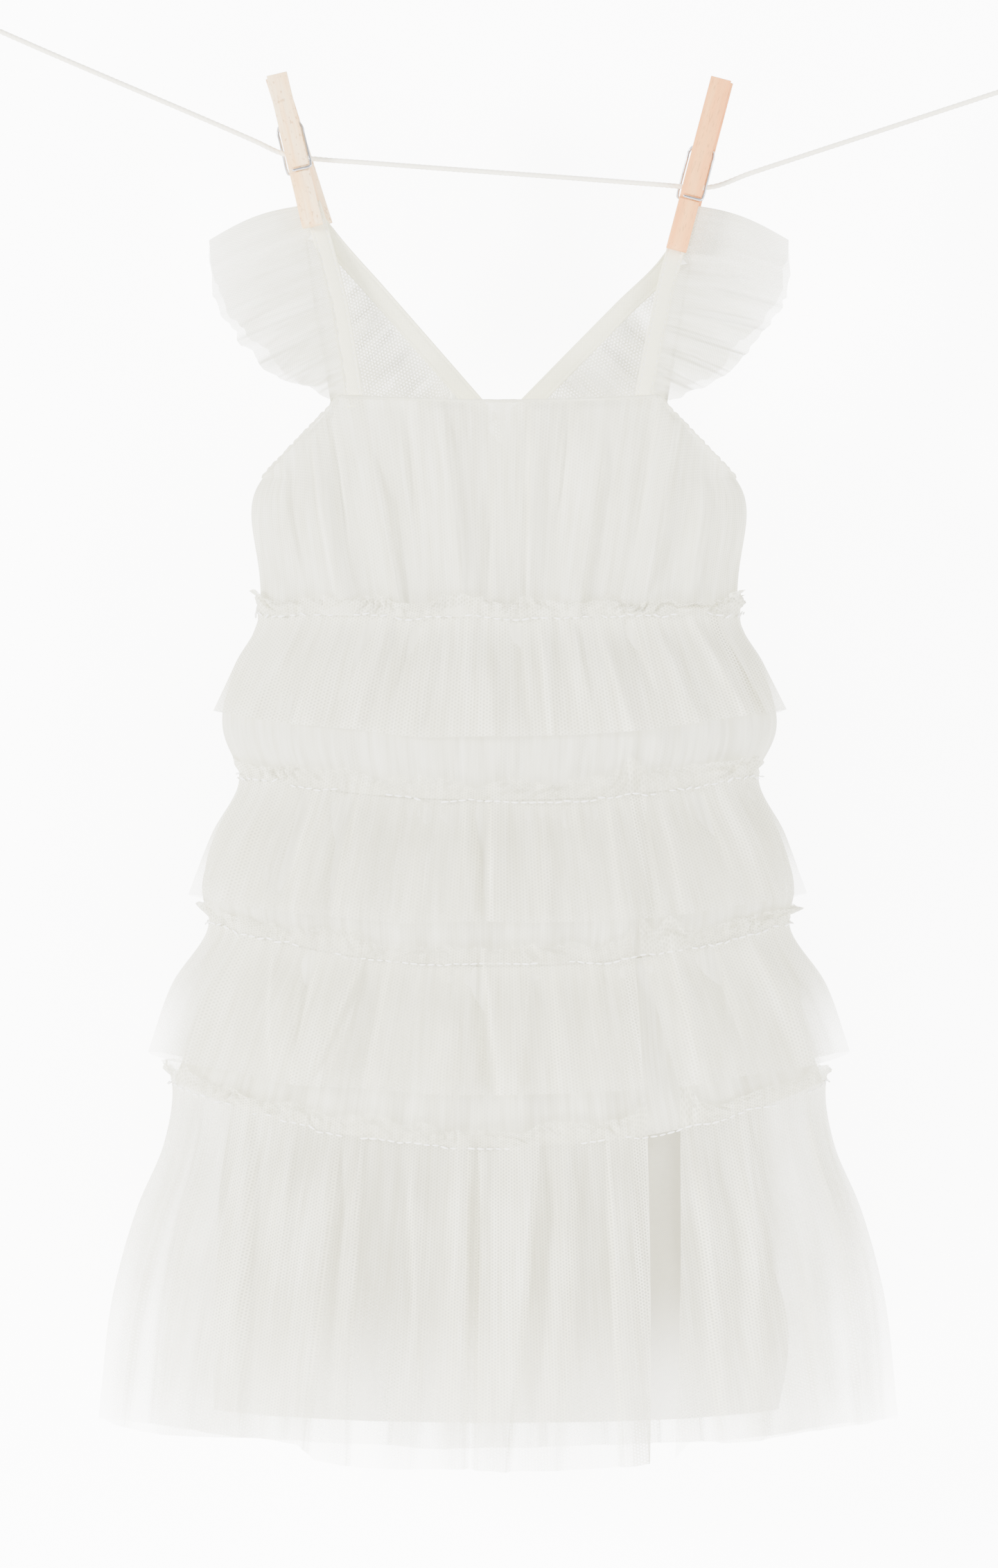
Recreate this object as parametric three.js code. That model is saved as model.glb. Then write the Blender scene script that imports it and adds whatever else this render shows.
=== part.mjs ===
// A child's tiered tulle dress, hung by its shoulders from a clothes line with two spring pegs.
// Millimetres. The front faces -Y, +Z is up, and +X is to the right of someone who looks at the
// front. The origin lies on the line's centreline, midway between the two pegs.
import * as THREE from 'three';

// ---------------------------------------------------------------- driving sizes
const CLOTH = 1.2;           // wall of a cloth panel
const TAPE = 1.0;            // wall of the folded strap tape
const SEAM = 0.3;            // gap left at every seam
const TAPE_WIDTH = 8.4;      // folded tape of the straps and the back neck
const COLUMNS = 28;          // columns across each half of a skirt ring
const SECTION_POWER = 2.4;   // squareness of the flattened skirt section
const SAG_POWER = 2.2;       // how quickly a seam drops away from the side
const LINE_RADIUS = 1.2;
const PEG_WIDTH = 9.6;
const WIRE_RADIUS = 0.65;
const UNDERARM = { x: 108.6, z: -140.5 };
const FRONT_CORNER = { x: 72.6, z: -103.2 };   // where the strap's outer edge meets the front
const FRONT_DIP = 2.2;       // the front top edge drops this much between the straps
const NECK_MITRE_X = 0.8;    // the back neck tapes meet here

// Ring where each tier is stitched on: z at the side, drop at the middle, half width, half depth.
const SEAM_RINGS = [
  { name: 'waist', z: -203, sag: 2, wide: 110.5, deep: 14 },
  { name: 'second', z: -277, sag: 11.5, wide: 119, deep: 20 },
  { name: 'third', z: -344, sag: 20, wide: 133, deep: 27 },
  { name: 'fourth', z: -417.5, sag: 28.5, wide: 150, deep: 34 },
];

// The gathered flounces from the raw heading above the stitches down to the free hem.
// fold is how far the gathers stand out; the row without it lies on the seam.
const FLOUNCE_ROWS = [
  [
    { z: -195, sag: 2, wide: 115.5, deep: 17.5, fold: 1.2 },
    { ...SEAM_RINGS[0], fold: 0 },
    { z: -225, sag: 7, wide: 120.8, deep: 22, fold: 2.2 },
    { z: -246.5, sag: 13, wide: 131.5, deep: 27, fold: 3.5 },
  ],
  [
    { z: -268.5, sag: 11.5, wide: 124, deep: 24.5, fold: 1.4 },
    { ...SEAM_RINGS[1], fold: 0 },
    { z: -304, sag: 12, wide: 131.5, deep: 29, fold: 3 },
    { z: -331.5, sag: 13, wide: 142, deep: 35, fold: 5 },
  ],
  [
    { z: -335.5, sag: 20, wide: 137.5, deep: 32.5, fold: 1.6 },
    { ...SEAM_RINGS[2], fold: 0 },
    { z: -373, sag: 19, wide: 149.7, deep: 37, fold: 3.5 },
    { z: -404.7, sag: 17.3, wide: 160.5, deep: 43, fold: 5.5 },
  ],
  [
    { z: -409, sag: 28.5, wide: 154, deep: 38, fold: 1.8 },
    { ...SEAM_RINGS[3], fold: 0 },
    { z: -446, sag: 27, wide: 153.5, deep: 38, fold: 3 },
    { z: -475, sag: 25, wide: 165.5, deep: 41, fold: 5 },
    { z: -512, sag: 22, wide: 176, deep: 44.5, fold: 7 },
    { z: -573, sag: 18.5, wide: 183.5, deep: 49, fold: 9 },
  ],
];

// The plain tulle that carries the next seam: its rounded middle, between two seam rings.
const BASE_BULGES = [
  { z: -259, sag: 9, wide: 126.5, deep: 22, fold: 1.4 },
  { z: -333, sag: 17, wide: 134, deep: 27.8, fold: 1.6 },
  { z: -403, sag: 26, wide: 138.5, deep: 31.5, fold: 1.8 },
];

const LINING_ROWS = [
  { z: -203.5, sag: 2, wide: 104, deep: 9.5, fold: 0 },
  { z: -280, sag: 3, wide: 112, deep: 13.5, fold: 0 },
  { z: -417, sag: 3, wide: 121, deep: 22, fold: 0 },
  { z: -568, sag: 3.5, wide: 128, deep: 31, fold: 0 },
];

// Crests of the largest folds, as fractions of the half width, and their relative height.
const FRONT_FOLDS = [
  [
    { at: -0.9, high: 0.6 }, { at: -0.72, high: 0.9 }, { at: -0.55, high: 0.7 }, { at: -0.36, high: 1 },
    { at: -0.18, high: 0.7 }, { at: -0.02, high: 0.9 }, { at: 0.15, high: 0.8 }, { at: 0.33, high: 1 },
    { at: 0.5, high: 0.6 }, { at: 0.7, high: 0.8 }, { at: 0.9, high: 0.6 },
  ],
  [
    { at: -0.88, high: 0.7 }, { at: -0.66, high: 0.8 }, { at: -0.43, high: 1 }, { at: -0.2, high: 0.7 },
    { at: 0.04, high: 1 }, { at: 0.24, high: 0.8 }, { at: 0.45, high: 1 }, { at: 0.66, high: 0.7 },
    { at: 0.87, high: 0.7 },
  ],
  [
    { at: -0.86, high: 0.6 }, { at: -0.62, high: 1 }, { at: -0.4, high: 0.8 }, { at: -0.19, high: 0.9 },
    { at: 0.02, high: 0.8 }, { at: 0.22, high: 1 }, { at: 0.42, high: 1 }, { at: 0.63, high: 0.8 },
    { at: 0.86, high: 0.7 },
  ],
  [
    { at: -0.84, high: 0.6 }, { at: -0.62, high: 0.9 }, { at: -0.42, high: 1 }, { at: -0.24, high: 0.7 },
    { at: -0.05, high: 1 }, { at: 0.16, high: 0.8 }, { at: 0.36, high: 1 }, { at: 0.52, high: 0.8 },
    { at: 0.68, high: 0.9 }, { at: 0.87, high: 0.6 },
  ],
];
const BACK_FOLDS = FRONT_FOLDS.map((folds, tier) => folds.map((fold, k) => ({
  at: -fold.at + 0.03 * Math.sin(2 * k + tier),
  high: 0.7 + 0.3 * Math.cos(3 * k + tier),
})).sort((a, b) => a.at - b.at));

// Half depth of the bodice, front and back, from the pegs down to the waist.
const FRONT_DEPTH = [
  { z: -14, deep: 0.75 }, { z: -26, deep: 0.75 }, { z: -45, deep: 3.4 }, { z: -75, deep: 6.6 },
  { z: -103, deep: 9.5 }, { z: -130, deep: 12.6 }, { z: -155, deep: 14.6 }, { z: -202.7, deep: 14 },
];
const BACK_DEPTH = [
  { z: -14, deep: 0.75 }, { z: -26, deep: 0.75 }, { z: -42, deep: 2.6 }, { z: -62, deep: 4.6 },
  { z: -100, deep: 8.4 }, { z: -141, deep: 12.8 }, { z: -202.7, deep: 14 },
];

// Middle of each front strap and outer edge of each sleeve flounce. The pegs pull the two
// shoulders slightly apart, so the left and right tables differ.
const STRAPS = {
  left: [
    { x: -86.3, z: -14 }, { x: -82.4, z: -26.2 }, { x: -78.6, z: -40 }, { x: -73.9, z: -59 },
    { x: -70.1, z: -80 }, { x: -66.8, z: -101.4 },
  ],
  right: [
    { x: 86, z: -16 }, { x: 80.6, z: -37.4 }, { x: 76.4, z: -54 }, { x: 72.2, z: -74 },
    { x: 69, z: -90 }, { x: 66.8, z: -101.4 },
  ],
};
const NECK_TAPES = {
  left: [
    { x: -86.1, z: -15 }, { x: -83.4, z: -22.6 }, { x: -78.4, z: -29.3 }, { x: -55.6, z: -55.3 },
    { x: -32.8, z: -81.2 }, { x: -6, z: -111.8 },
  ],
  right: [
    { x: 86.4, z: -16.5 }, { x: 84.6, z: -31 }, { x: 78.6, z: -40.4 }, { x: 56.5, z: -62.8 },
    { x: 34, z: -85.5 }, { x: 7.5, z: -112.3 },
  ],
};
// Free edge of a sleeve flounce: along is 0 at the shoulder ridge and 1 at its lower end.
const SLEEVE_EDGE = {
  front: [
    { along: 0, x: 133.2, z: -31 }, { along: 0.15, x: 132.6, z: -48 }, { along: 0.33, x: 128, z: -64 },
    { along: 0.5, x: 119.5, z: -76 }, { along: 0.7, x: 107, z: -89.5 }, { along: 0.85, x: 94, z: -98 },
    { along: 1, x: 77.4, z: -104 },
  ],
  back: [
    { along: 0, x: 133.2, z: -31 }, { along: 0.15, x: 131.4, z: -46 }, { along: 0.33, x: 125.5, z: -61 },
    { along: 0.5, x: 116, z: -73 }, { along: 0.7, x: 103, z: -86 }, { along: 0.85, x: 93.5, z: -94.5 },
    { along: 1, x: 85.5, z: -99.5 },
  ],
};
const SLEEVE_RIDGE = { left: { x: -94.8, z: -15.6 }, right: { x: 93.9, z: -15.6 } };
const PEG_CORNER = { left: { x: -91.6, z: -28 }, right: { x: 87.6, z: -39 } };

// Back armhole edge as a mirrored half, from the shoulder point of each side. foot is where the
// gather that ends there starts on the waist, as a fraction of its half width.
const SHOULDER = {
  left: { x: 88.6, z: -30.5, foot: 0.49 },
  right: { x: 88.2, z: -41.5, foot: 0.49 },
};
const ARMHOLE = [
  { x: 86.2, z: -50, foot: 0.525 }, { x: 83, z: -72, foot: 0.56 }, { x: 80, z: -92, foot: 0.62 },
  { x: 81, z: -106, foot: 0.71 }, { x: 93, z: -122.5, foot: 0.86 }, { ...UNDERARM, foot: 1 },
];
const NECK_FOOT = 0.45;      // the gathers that end on the neck tapes start within this fraction

// Spring pegs: tip is the jaw's end, lean is from upright towards +X, line and wire are heights
// above the jaw's end, skew turns the rear leg about its handle and slip moves it sideways.
const PEGS = {
  left: { x: -85.4, z: -25.4, lean: -13.3, long: 72, line: 33.6, wire: 26.8, open: 2.6, skew: 4.3, slip: 0 },
  right: { x: 81.2, z: -36.3, lean: 14.7, long: 81.6, line: 30.3, wire: 24.7, open: 3, skew: 0, slip: 1.2 },
};
const PEG_COIL = 46.2;       // the spring's coil above the jaw's end
const PEG_FULCRUM = 50.5;    // the legs bear on each other here
const PEG_THICK = 6.6;       // one leg, front to back
const PEG_GROOVE = 0.8;      // groove of the spring's cross wire
const PEG_LINE_RECESS = { half: 5.5, deep: 0.8 };
const PEG_COIL_NOTCH = 3.6;
const COIL_RADIUS = 2.35;
const COIL_TURNS = 2.5;

// Route of the clothes line, and the small tied loop at each end.
const LINE_ROUTE = [
  { x: -233, z: 66.6 }, { x: -200, z: 52.2 }, { x: -170, z: 39.4 }, { x: -140, z: 26.6 },
  { x: -111.5, z: 14.2 }, { x: -99.6, z: 8.8 }, { x: -93.1, z: 7.2 }, { x: -84.5, z: 6.3 },
  { x: -60, z: 4.5 }, { x: -30, z: 2.2 }, { x: 0, z: 0 }, { x: 30, z: -2.2 }, { x: 60, z: -4.5 },
  { x: 83.5, z: -6.4 }, { x: 88.9, z: -7 }, { x: 97.5, z: -6.6 }, { x: 114.6, z: -0.6 },
  { x: 140, z: 7.8 }, { x: 170, z: 17.6 }, { x: 200, z: 27.4 }, { x: 233, z: 38.2 },
];
const KNOT = { long: 6, radius: 2.6 };
const END_LOOP_RADIUS = 5;

// ---------------------------------------------------------------- finishes
const finish = (color, roughness, metalness = 0) => new THREE.MeshStandardMaterial({
  color, roughness, metalness, side: THREE.DoubleSide,
});
const TULLE = finish('#e6e5df', 0.85);
const LINING = finish('#ebeae4', 0.8);
const STRAP_TAPE = finish('#eaeae0', 0.7);
const COTTON_CORD = finish('#f3f1ea', 0.9);
const BIRCH = finish('#f0dcc4', 0.6);
const BEECH = finish('#edd1b0', 0.6);
const STEEL = finish('#c9cbd0', 0.3, 1);

// ---------------------------------------------------------------- small helpers
const model = new THREE.Group();
const toRadians = THREE.MathUtils.degToRad;
const signOf = (side) => (side === 'left' ? -1 : 1);

function interpolate(table, key, at, value) {
  const rising = table[table.length - 1][key] > table[0][key];
  const ordered = rising ? table : [...table].reverse();
  const clamped = THREE.MathUtils.clamp(at, ordered[0][key], ordered[ordered.length - 1][key]);
  const next = Math.max(1, ordered.findIndex((row) => row[key] >= clamped));
  const [low, high] = [ordered[next - 1], ordered[next]];
  const share = (clamped - low[key]) / (high[key] - low[key]);
  return THREE.MathUtils.lerp(low[value], high[value], share);
}

function pointAlong(path, share) {
  const place = THREE.MathUtils.clamp(share, 0, 1) * (path.length - 1);
  const k = Math.min(Math.floor(place), path.length - 2);
  return {
    x: THREE.MathUtils.lerp(path[k].x, path[k + 1].x, place - k),
    z: THREE.MathUtils.lerp(path[k].z, path[k + 1].z, place - k),
  };
}

// A closed body from loose points and triangles, turned so that its faces point out.
function closedMesh(name, points, triangles, material) {
  const cross = new THREE.Vector3();
  const volume = triangles.reduce((sum, [a, b, c]) => (
    sum + cross.crossVectors(points[b], points[c]).dot(points[a])
  ), 0);
  const index = triangles.flatMap(([a, b, c]) => (volume < 0 ? [a, c, b] : [a, b, c]));
  const geometry = new THREE.BufferGeometry().setFromPoints(points);
  geometry.setIndex(index);
  geometry.computeVertexNormals();
  const mesh = new THREE.Mesh(geometry, material);
  mesh.name = name;
  return mesh;
}

// A cloth wall between two grids of points with the same rows and columns.
function clothWall(name, face, lining, material) {
  const rows = face.length;
  const columns = face[0].length;
  const id = (layer, row, column) => (layer * rows + row) * columns + column;
  const triangles = [];
  const quad = (a, b, c, d) => triangles.push([a, b, c], [a, c, d]);
  for (let row = 0; row < rows - 1; row += 1) {
    for (let column = 0; column < columns - 1; column += 1) {
      quad(id(0, row, column), id(0, row, column + 1), id(0, row + 1, column + 1), id(0, row + 1, column));
      quad(id(1, row, column), id(1, row + 1, column), id(1, row + 1, column + 1), id(1, row, column + 1));
    }
  }
  for (let row = 0; row < rows - 1; row += 1) {
    quad(id(0, row, 0), id(0, row + 1, 0), id(1, row + 1, 0), id(1, row, 0));
    const last = columns - 1;
    quad(id(0, row, last), id(1, row, last), id(1, row + 1, last), id(0, row + 1, last));
  }
  for (let column = 0; column < columns - 1; column += 1) {
    quad(id(0, 0, column), id(1, 0, column), id(1, 0, column + 1), id(0, 0, column + 1));
    const last = rows - 1;
    quad(id(0, last, column), id(0, last, column + 1), id(1, last, column + 1), id(1, last, column));
  }
  return closedMesh(name, [...face.flat(), ...lining.flat()], triangles, material);
}

// The same grid moved along its own normals; way is 1 or -1.
function movedGrid(grid, distance, way) {
  const rows = grid.length;
  const columns = grid[0].length;
  return grid.map((line, row) => line.map((point, column) => {
    const down = new THREE.Vector3().subVectors(
      grid[Math.min(row + 1, rows - 1)][column],
      grid[Math.max(row - 1, 0)][column],
    );
    const along = new THREE.Vector3().subVectors(
      line[Math.min(column + 1, columns - 1)],
      line[Math.max(column - 1, 0)],
    );
    const normal = new THREE.Vector3().crossVectors(down, along).normalize();
    return point.clone().addScaledVector(normal, way * distance);
  }));
}

// ---------------------------------------------------------------- skirt
// Columns crowd towards the side seams, where the flattened ring turns.
const columnShares = Array.from({ length: COLUMNS + 1 }, (_, k) => {
  const even = -1 + (2 * k) / COLUMNS;
  return 0.5 * even + 0.5 * Math.sin((even * Math.PI) / 2);
});

function foldHeight(folds, at) {
  const after = folds.findIndex((fold) => fold.at > at);
  if (after === 0) return folds[0].high * Math.max(0, 1 - (folds[0].at - at) / 0.12);
  if (after < 0) {
    const last = folds[folds.length - 1];
    return last.high * Math.max(0, 1 - (at - last.at) / 0.12);
  }
  const [left, right] = [folds[after - 1], folds[after]];
  const share = (at - left.at) / (right.at - left.at);
  return (share < 0.5 ? left.high : right.high) * (0.5 + 0.5 * Math.cos(share * 2 * Math.PI));
}

// One point of a ring: facing is -1 for the front and 1 for the back, and out moves it along
// the ring's normal.
function ringPoint(row, at, facing, out) {
  const body = Math.sqrt(Math.max(0, 1 - Math.abs(at) ** SECTION_POWER));
  const normal = new THREE.Vector2(
    (SECTION_POWER * Math.sign(at) * Math.abs(at) ** (SECTION_POWER - 1)) / row.wide,
    (facing * 2 * body) / row.deep,
  ).normalize();
  return new THREE.Vector3(
    row.wide * at + normal.x * out,
    facing * (SEAM / 2 + row.deep * body) + normal.y * out,
    row.z - row.sag * (1 - Math.abs(at) ** SAG_POWER),
  );
}

function ringPanel(name, rows, folds, facing, material) {
  const grid = (inwards) => rows.map((row) => columnShares.map((at) => {
    const side = 1 - at ** 6;
    const out = row.fold * foldHeight(folds, at) * side - (row.inset ?? 0) - inwards;
    return ringPoint(row, at, facing, out);
  }));
  return clothWall(name, grid(0), grid(CLOTH), material);
}

const underSeam = CLOTH + SEAM;
const FACES = [
  { side: 'front', facing: -1, folds: FRONT_FOLDS },
  { side: 'back', facing: 1, folds: BACK_FOLDS },
];

for (const { side, facing, folds } of FACES) {
  FLOUNCE_ROWS.forEach((rows, tier) => {
    model.add(ringPanel(`flounce_${tier + 1}_${side}`, rows, folds[tier], facing, TULLE));
  });
  BASE_BULGES.forEach((bulge, tier) => {
    const above = SEAM_RINGS[tier];
    const below = SEAM_RINGS[tier + 1];
    const rows = [
      { ...above, z: above.z - SEAM, fold: 0, inset: underSeam },
      bulge,
      { ...below, z: below.z + SEAM, fold: 0, inset: underSeam },
    ];
    model.add(ringPanel(`base_${tier + 1}_${side}`, rows, folds[tier], facing, TULLE));
  });
  model.add(ringPanel(`lining_${side}`, LINING_ROWS, folds[0], facing, LINING));
}

// ---------------------------------------------------------------- bodice
// Half width of the body of the dress at a height: it swells under the arm, and above the
// underarm it opens out so that the front and back edges of the armhole part.
function bodySide(z) {
  const waist = SEAM_RINGS[0];
  const up = THREE.MathUtils.clamp((z - waist.z) / (UNDERARM.z - waist.z), 0, 1);
  const swell = 9.48 * up ** 3 * (1 - up);
  return THREE.MathUtils.lerp(waist.wide - underSeam, UNDERARM.x, up) + 5 * swell;
}

function bodyDepth(x, z, table) {
  const wide = z > UNDERARM.z ? UNDERARM.x + 0.3 * (z - UNDERARM.z) : bodySide(z);
  const share = Math.min(1, Math.abs(x) / wide);
  return SEAM / 2 + interpolate(table, 'z', z, 'deep') * Math.sqrt(1 - share ** SECTION_POWER);
}

const frontAt = (x, z, out = 0) => new THREE.Vector3(x, -bodyDepth(x, z, FRONT_DEPTH) - out, z);
const backAt = (x, z, out = 0) => new THREE.Vector3(x, bodyDepth(x, z, BACK_DEPTH) + out, z);

// A bodice panel ruled from the waist up to its top edge, which is given column by column, each
// with its foot on the waist. gather is the depth of the small gathers.
function bodicePanel(name, topEdge, place, facing, gather) {
  const rise = [0, 0.25, 0.55, 0.8, 1];
  const waist = { ...SEAM_RINGS[0], z: SEAM_RINGS[0].z + SEAM };
  const grid = (inwards) => rise.map((up) => topEdge.map((top, column) => {
    const low = ringPoint(waist, top.foot, facing, -underSeam - inwards);
    if (up === 0) return low;
    const z = THREE.MathUtils.lerp(low.z, top.z, up);
    const x = THREE.MathUtils.lerp(low.x, top.x, up);
    if (Math.abs(top.foot) === 1) {
      const way = Math.sign(top.foot);
      return place(way * bodySide(z), z).add(new THREE.Vector3(-way * inwards, 0, 0));
    }
    const ripple = gather * (column % 2 ? 1 : -1) * Math.sin(Math.PI * up) * (1 - top.foot ** 8);
    return place(x, z, ripple - inwards);
  }));
  return clothWall(name, grid(0), grid(CLOTH), TULLE);
}

function frontTopEdge() {
  const count = 28;
  const corner = 10 / 14;
  return Array.from({ length: count + 1 }, (_, k) => {
    const even = (2 * k) / count - 1;
    const foot = 0.5 * even + 0.5 * Math.sin((even * Math.PI) / 2);
    const size = Math.abs(even);
    if (size <= corner) {
      const x = (FRONT_CORNER.x * even) / corner;
      return { x, z: FRONT_CORNER.z - FRONT_DIP * (1 - (x / FRONT_CORNER.x) ** 2), foot };
    }
    const share = (size - corner) / (1 - corner);
    return {
      x: Math.sign(even) * THREE.MathUtils.lerp(FRONT_CORNER.x, UNDERARM.x, share),
      z: THREE.MathUtils.lerp(FRONT_CORNER.z, UNDERARM.z, share),
      foot,
    };
  });
}
model.add(bodicePanel('bodice_front', frontTopEdge(), frontAt, -1, 0.9));

// Tapes: a flat strip along a path on the front or the back of the body.
function tapeEdges(path, half) {
  return path.map((point, k) => {
    const before = path[Math.max(k - 1, 0)];
    const after = path[Math.min(k + 1, path.length - 1)];
    const run = new THREE.Vector2(after.x - before.x, after.z - before.z).normalize();
    return [-1, 1].map((way) => ({
      x: point.x - way * half * run.y, z: point.z + way * half * run.x, run,
    }));
  });
}

function tapeStrip(name, edges, place) {
  const grid = (out) => edges.map((pair) => pair.map(({ x, z }) => place(x, z, out)));
  return clothWall(name, grid(TAPE / 2), grid(-TAPE / 2), STRAP_TAPE);
}

for (const side of ['left', 'right']) {
  model.add(tapeStrip(`strap_${side}`, tapeEdges(STRAPS[side], TAPE_WIDTH / 2), frontAt));
  const edges = tapeEdges(NECK_TAPES[side], TAPE_WIDTH / 2);
  const mitre = NECK_MITRE_X + (signOf(side) * SEAM) / 2;
  edges.push(edges[edges.length - 1].map(({ x, z, run }) => (
    { x: mitre, z: z + ((mitre - x) * run.y) / run.x, run }
  )));
  model.add(tapeStrip(`neck_tape_${side}`, edges, backAt));
}

// The back: its top edge follows the lower edge of the neck tapes, a narrow shoulder and the
// armholes.
function neckEdge(side, share) {
  const half = TAPE_WIDTH / 2 + SEAM + 0.1;
  const start = pointAlong(NECK_TAPES[side].slice(2), 0);
  const end = NECK_TAPES[side][NECK_TAPES[side].length - 1];
  const run = new THREE.Vector2(end.x - start.x, end.z - start.z).normalize();
  const way = signOf(side);
  const low = { x: end.x - way * half * run.y, z: end.z + way * half * run.x };
  const stretch = (NECK_MITRE_X - low.x) / run.x;
  const bottom = { x: NECK_MITRE_X, z: low.z + stretch * run.y };
  const besideBend = half + 0.9;
  const top = { x: start.x - way * besideBend * run.y, z: start.z + way * besideBend * run.x };
  return {
    x: THREE.MathUtils.lerp(bottom.x, top.x, share),
    z: THREE.MathUtils.lerp(bottom.z, top.z, share),
  };
}

function backTopEdge() {
  const neckColumns = 6;
  const half = (side) => {
    const way = signOf(side);
    const neck = Array.from({ length: neckColumns }, (_, k) => {
      const share = (k + 1) / neckColumns;
      return { ...neckEdge(side, share), foot: way * NECK_FOOT * share };
    });
    const arm = [SHOULDER[side], ...ARMHOLE].map(({ x, z, foot }) => ({ x: way * x, z, foot: way * foot }));
    return [...neck, ...arm];
  };
  return [...half('left').reverse(), { ...neckEdge('left', 0), foot: 0 }, ...half('right')];
}
model.add(bodicePanel('bodice_back', backTopEdge(), backAt, 1, 0.7));

// ---------------------------------------------------------------- sleeve flounces
// A strip gathered along the strap in front and along the armhole behind, folded over the
// shoulder: its ridge is level with the peg.
function sleeveInner(side, along, facing) {
  const way = signOf(side);
  const ridge = SLEEVE_RIDGE[side];
  const corner = PEG_CORNER[side];
  const clear = 0.18;
  if (along < clear) {
    const share = along / clear;
    return {
      x: THREE.MathUtils.lerp(ridge.x, corner.x, share),
      z: THREE.MathUtils.lerp(ridge.z, corner.z, share),
    };
  }
  const share = (along - clear) / (1 - clear);
  if (facing < 0) {
    const z = THREE.MathUtils.lerp(corner.z - 2.5, -102, share);
    const strap = Math.abs(interpolate(STRAPS[side], 'z', z, 'x'));
    return { x: way * (strap + TAPE_WIDTH / 2 + 0.5), z };
  }
  const z = THREE.MathUtils.lerp(corner.z - 3.5, -95, share);
  return { x: way * interpolate([SHOULDER[side], ...ARMHOLE], 'z', z, 'x'), z };
}

function sleeveFlounce(side) {
  const way = signOf(side);
  const steps = 10;
  const across = [0, 0.3, 0.65, 1];
  const rows = [];
  for (let k = -steps; k <= steps; k += 1) {
    const facing = k > 0 ? -1 : 1;
    const along = (Math.abs(k) / steps) ** 1.15;
    const inner = sleeveInner(side, along, facing);
    const edge = facing < 0 ? SLEEVE_EDGE.front : SLEEVE_EDGE.back;
    const outer = {
      x: way * interpolate(edge, 'along', along, 'x'),
      z: interpolate(edge, 'along', along, 'z'),
    };
    const open = Math.min(1, along / 0.12);
    const lift = facing < 0
      ? bodyDepth(inner.x, inner.z, FRONT_DEPTH)
      : bodyDepth(inner.x, inner.z, BACK_DEPTH) + CLOTH + 2 * SEAM;
    rows.push(across.map((t) => {
      const fold = 1.3 * t * (k % 2 ? 1 : -1) * Math.min(1, along * 4);
      const flare = 2 + 7 * t * Math.sin(Math.PI * Math.min(1, along * 0.8 + 0.15));
      const held = Math.max(lift, 1.6) * (1 - t) * open;
      const deep = k === 0 ? 0 : facing * (held + flare * open * (0.3 + 0.7 * t) + fold);
      return new THREE.Vector3(
        THREE.MathUtils.lerp(inner.x, outer.x, t),
        deep,
        THREE.MathUtils.lerp(inner.z, outer.z, t) - 2.5 * Math.sin(Math.PI * t) * (1 - along),
      );
    }));
  }
  const outside = movedGrid(rows, CLOTH, -way);
  outside.forEach((line, row) => { line[0].x = rows[row][0].x; });   // stays beside the strap
  return clothWall(`sleeve_${side}`, rows, outside, TULLE);
}
model.add(sleeveFlounce('left'), sleeveFlounce('right'));

// ---------------------------------------------------------------- pegs
// Side outline of the rear leg before the clamped cloth opens it: across is out from the middle.
function legOutline(peg) {
  const shape = new THREE.Shape();
  const { half, deep } = PEG_LINE_RECESS;
  shape.moveTo(1.2, 0);
  shape.lineTo(0, 1.2);
  shape.lineTo(0, peg.line - half);
  shape.lineTo(deep, peg.line - half + deep);
  shape.lineTo(deep, peg.line + half - deep);
  shape.lineTo(0, peg.line + half);
  for (const angle of [-90, -45, 0, 45, 90]) {
    const turn = toRadians(angle);
    shape.lineTo(PEG_COIL_NOTCH * Math.cos(turn), PEG_COIL + PEG_COIL_NOTCH * Math.sin(turn));
  }
  shape.lineTo(0, PEG_FULCRUM);
  shape.lineTo(3.2, peg.long);
  shape.lineTo(PEG_THICK, peg.long);
  shape.lineTo(PEG_THICK, peg.wire + 1.3);
  shape.lineTo(PEG_THICK - PEG_GROOVE, peg.wire + 0.9);
  shape.lineTo(PEG_THICK - PEG_GROOVE, peg.wire - 0.9);
  shape.lineTo(PEG_THICK, peg.wire - 1.3);
  shape.lineTo(PEG_THICK, 4);
  shape.lineTo(5.6, 1);
  shape.lineTo(4.6, 0);
  shape.closePath();
  return shape;
}

// The rear leg in the peg's own frame: x across its width, y to the rear, z up from the jaw.
function pegLeg(peg, material) {
  const geometry = new THREE.ExtrudeGeometry(legOutline(peg), { depth: PEG_WIDTH, bevelEnabled: false });
  geometry.translate(0, -PEG_FULCRUM, -PEG_WIDTH / 2);
  const basis = new THREE.Matrix4().makeBasis(
    new THREE.Vector3(0, 1, 0),
    new THREE.Vector3(0, 0, 1),
    new THREE.Vector3(1, 0, 0),
  );
  geometry.applyMatrix4(basis);
  const leg = new THREE.Mesh(geometry, material);
  leg.rotation.x = toRadians(peg.open);
  leg.position.set(0, SEAM / 2, PEG_FULCRUM);
  return leg;
}

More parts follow.
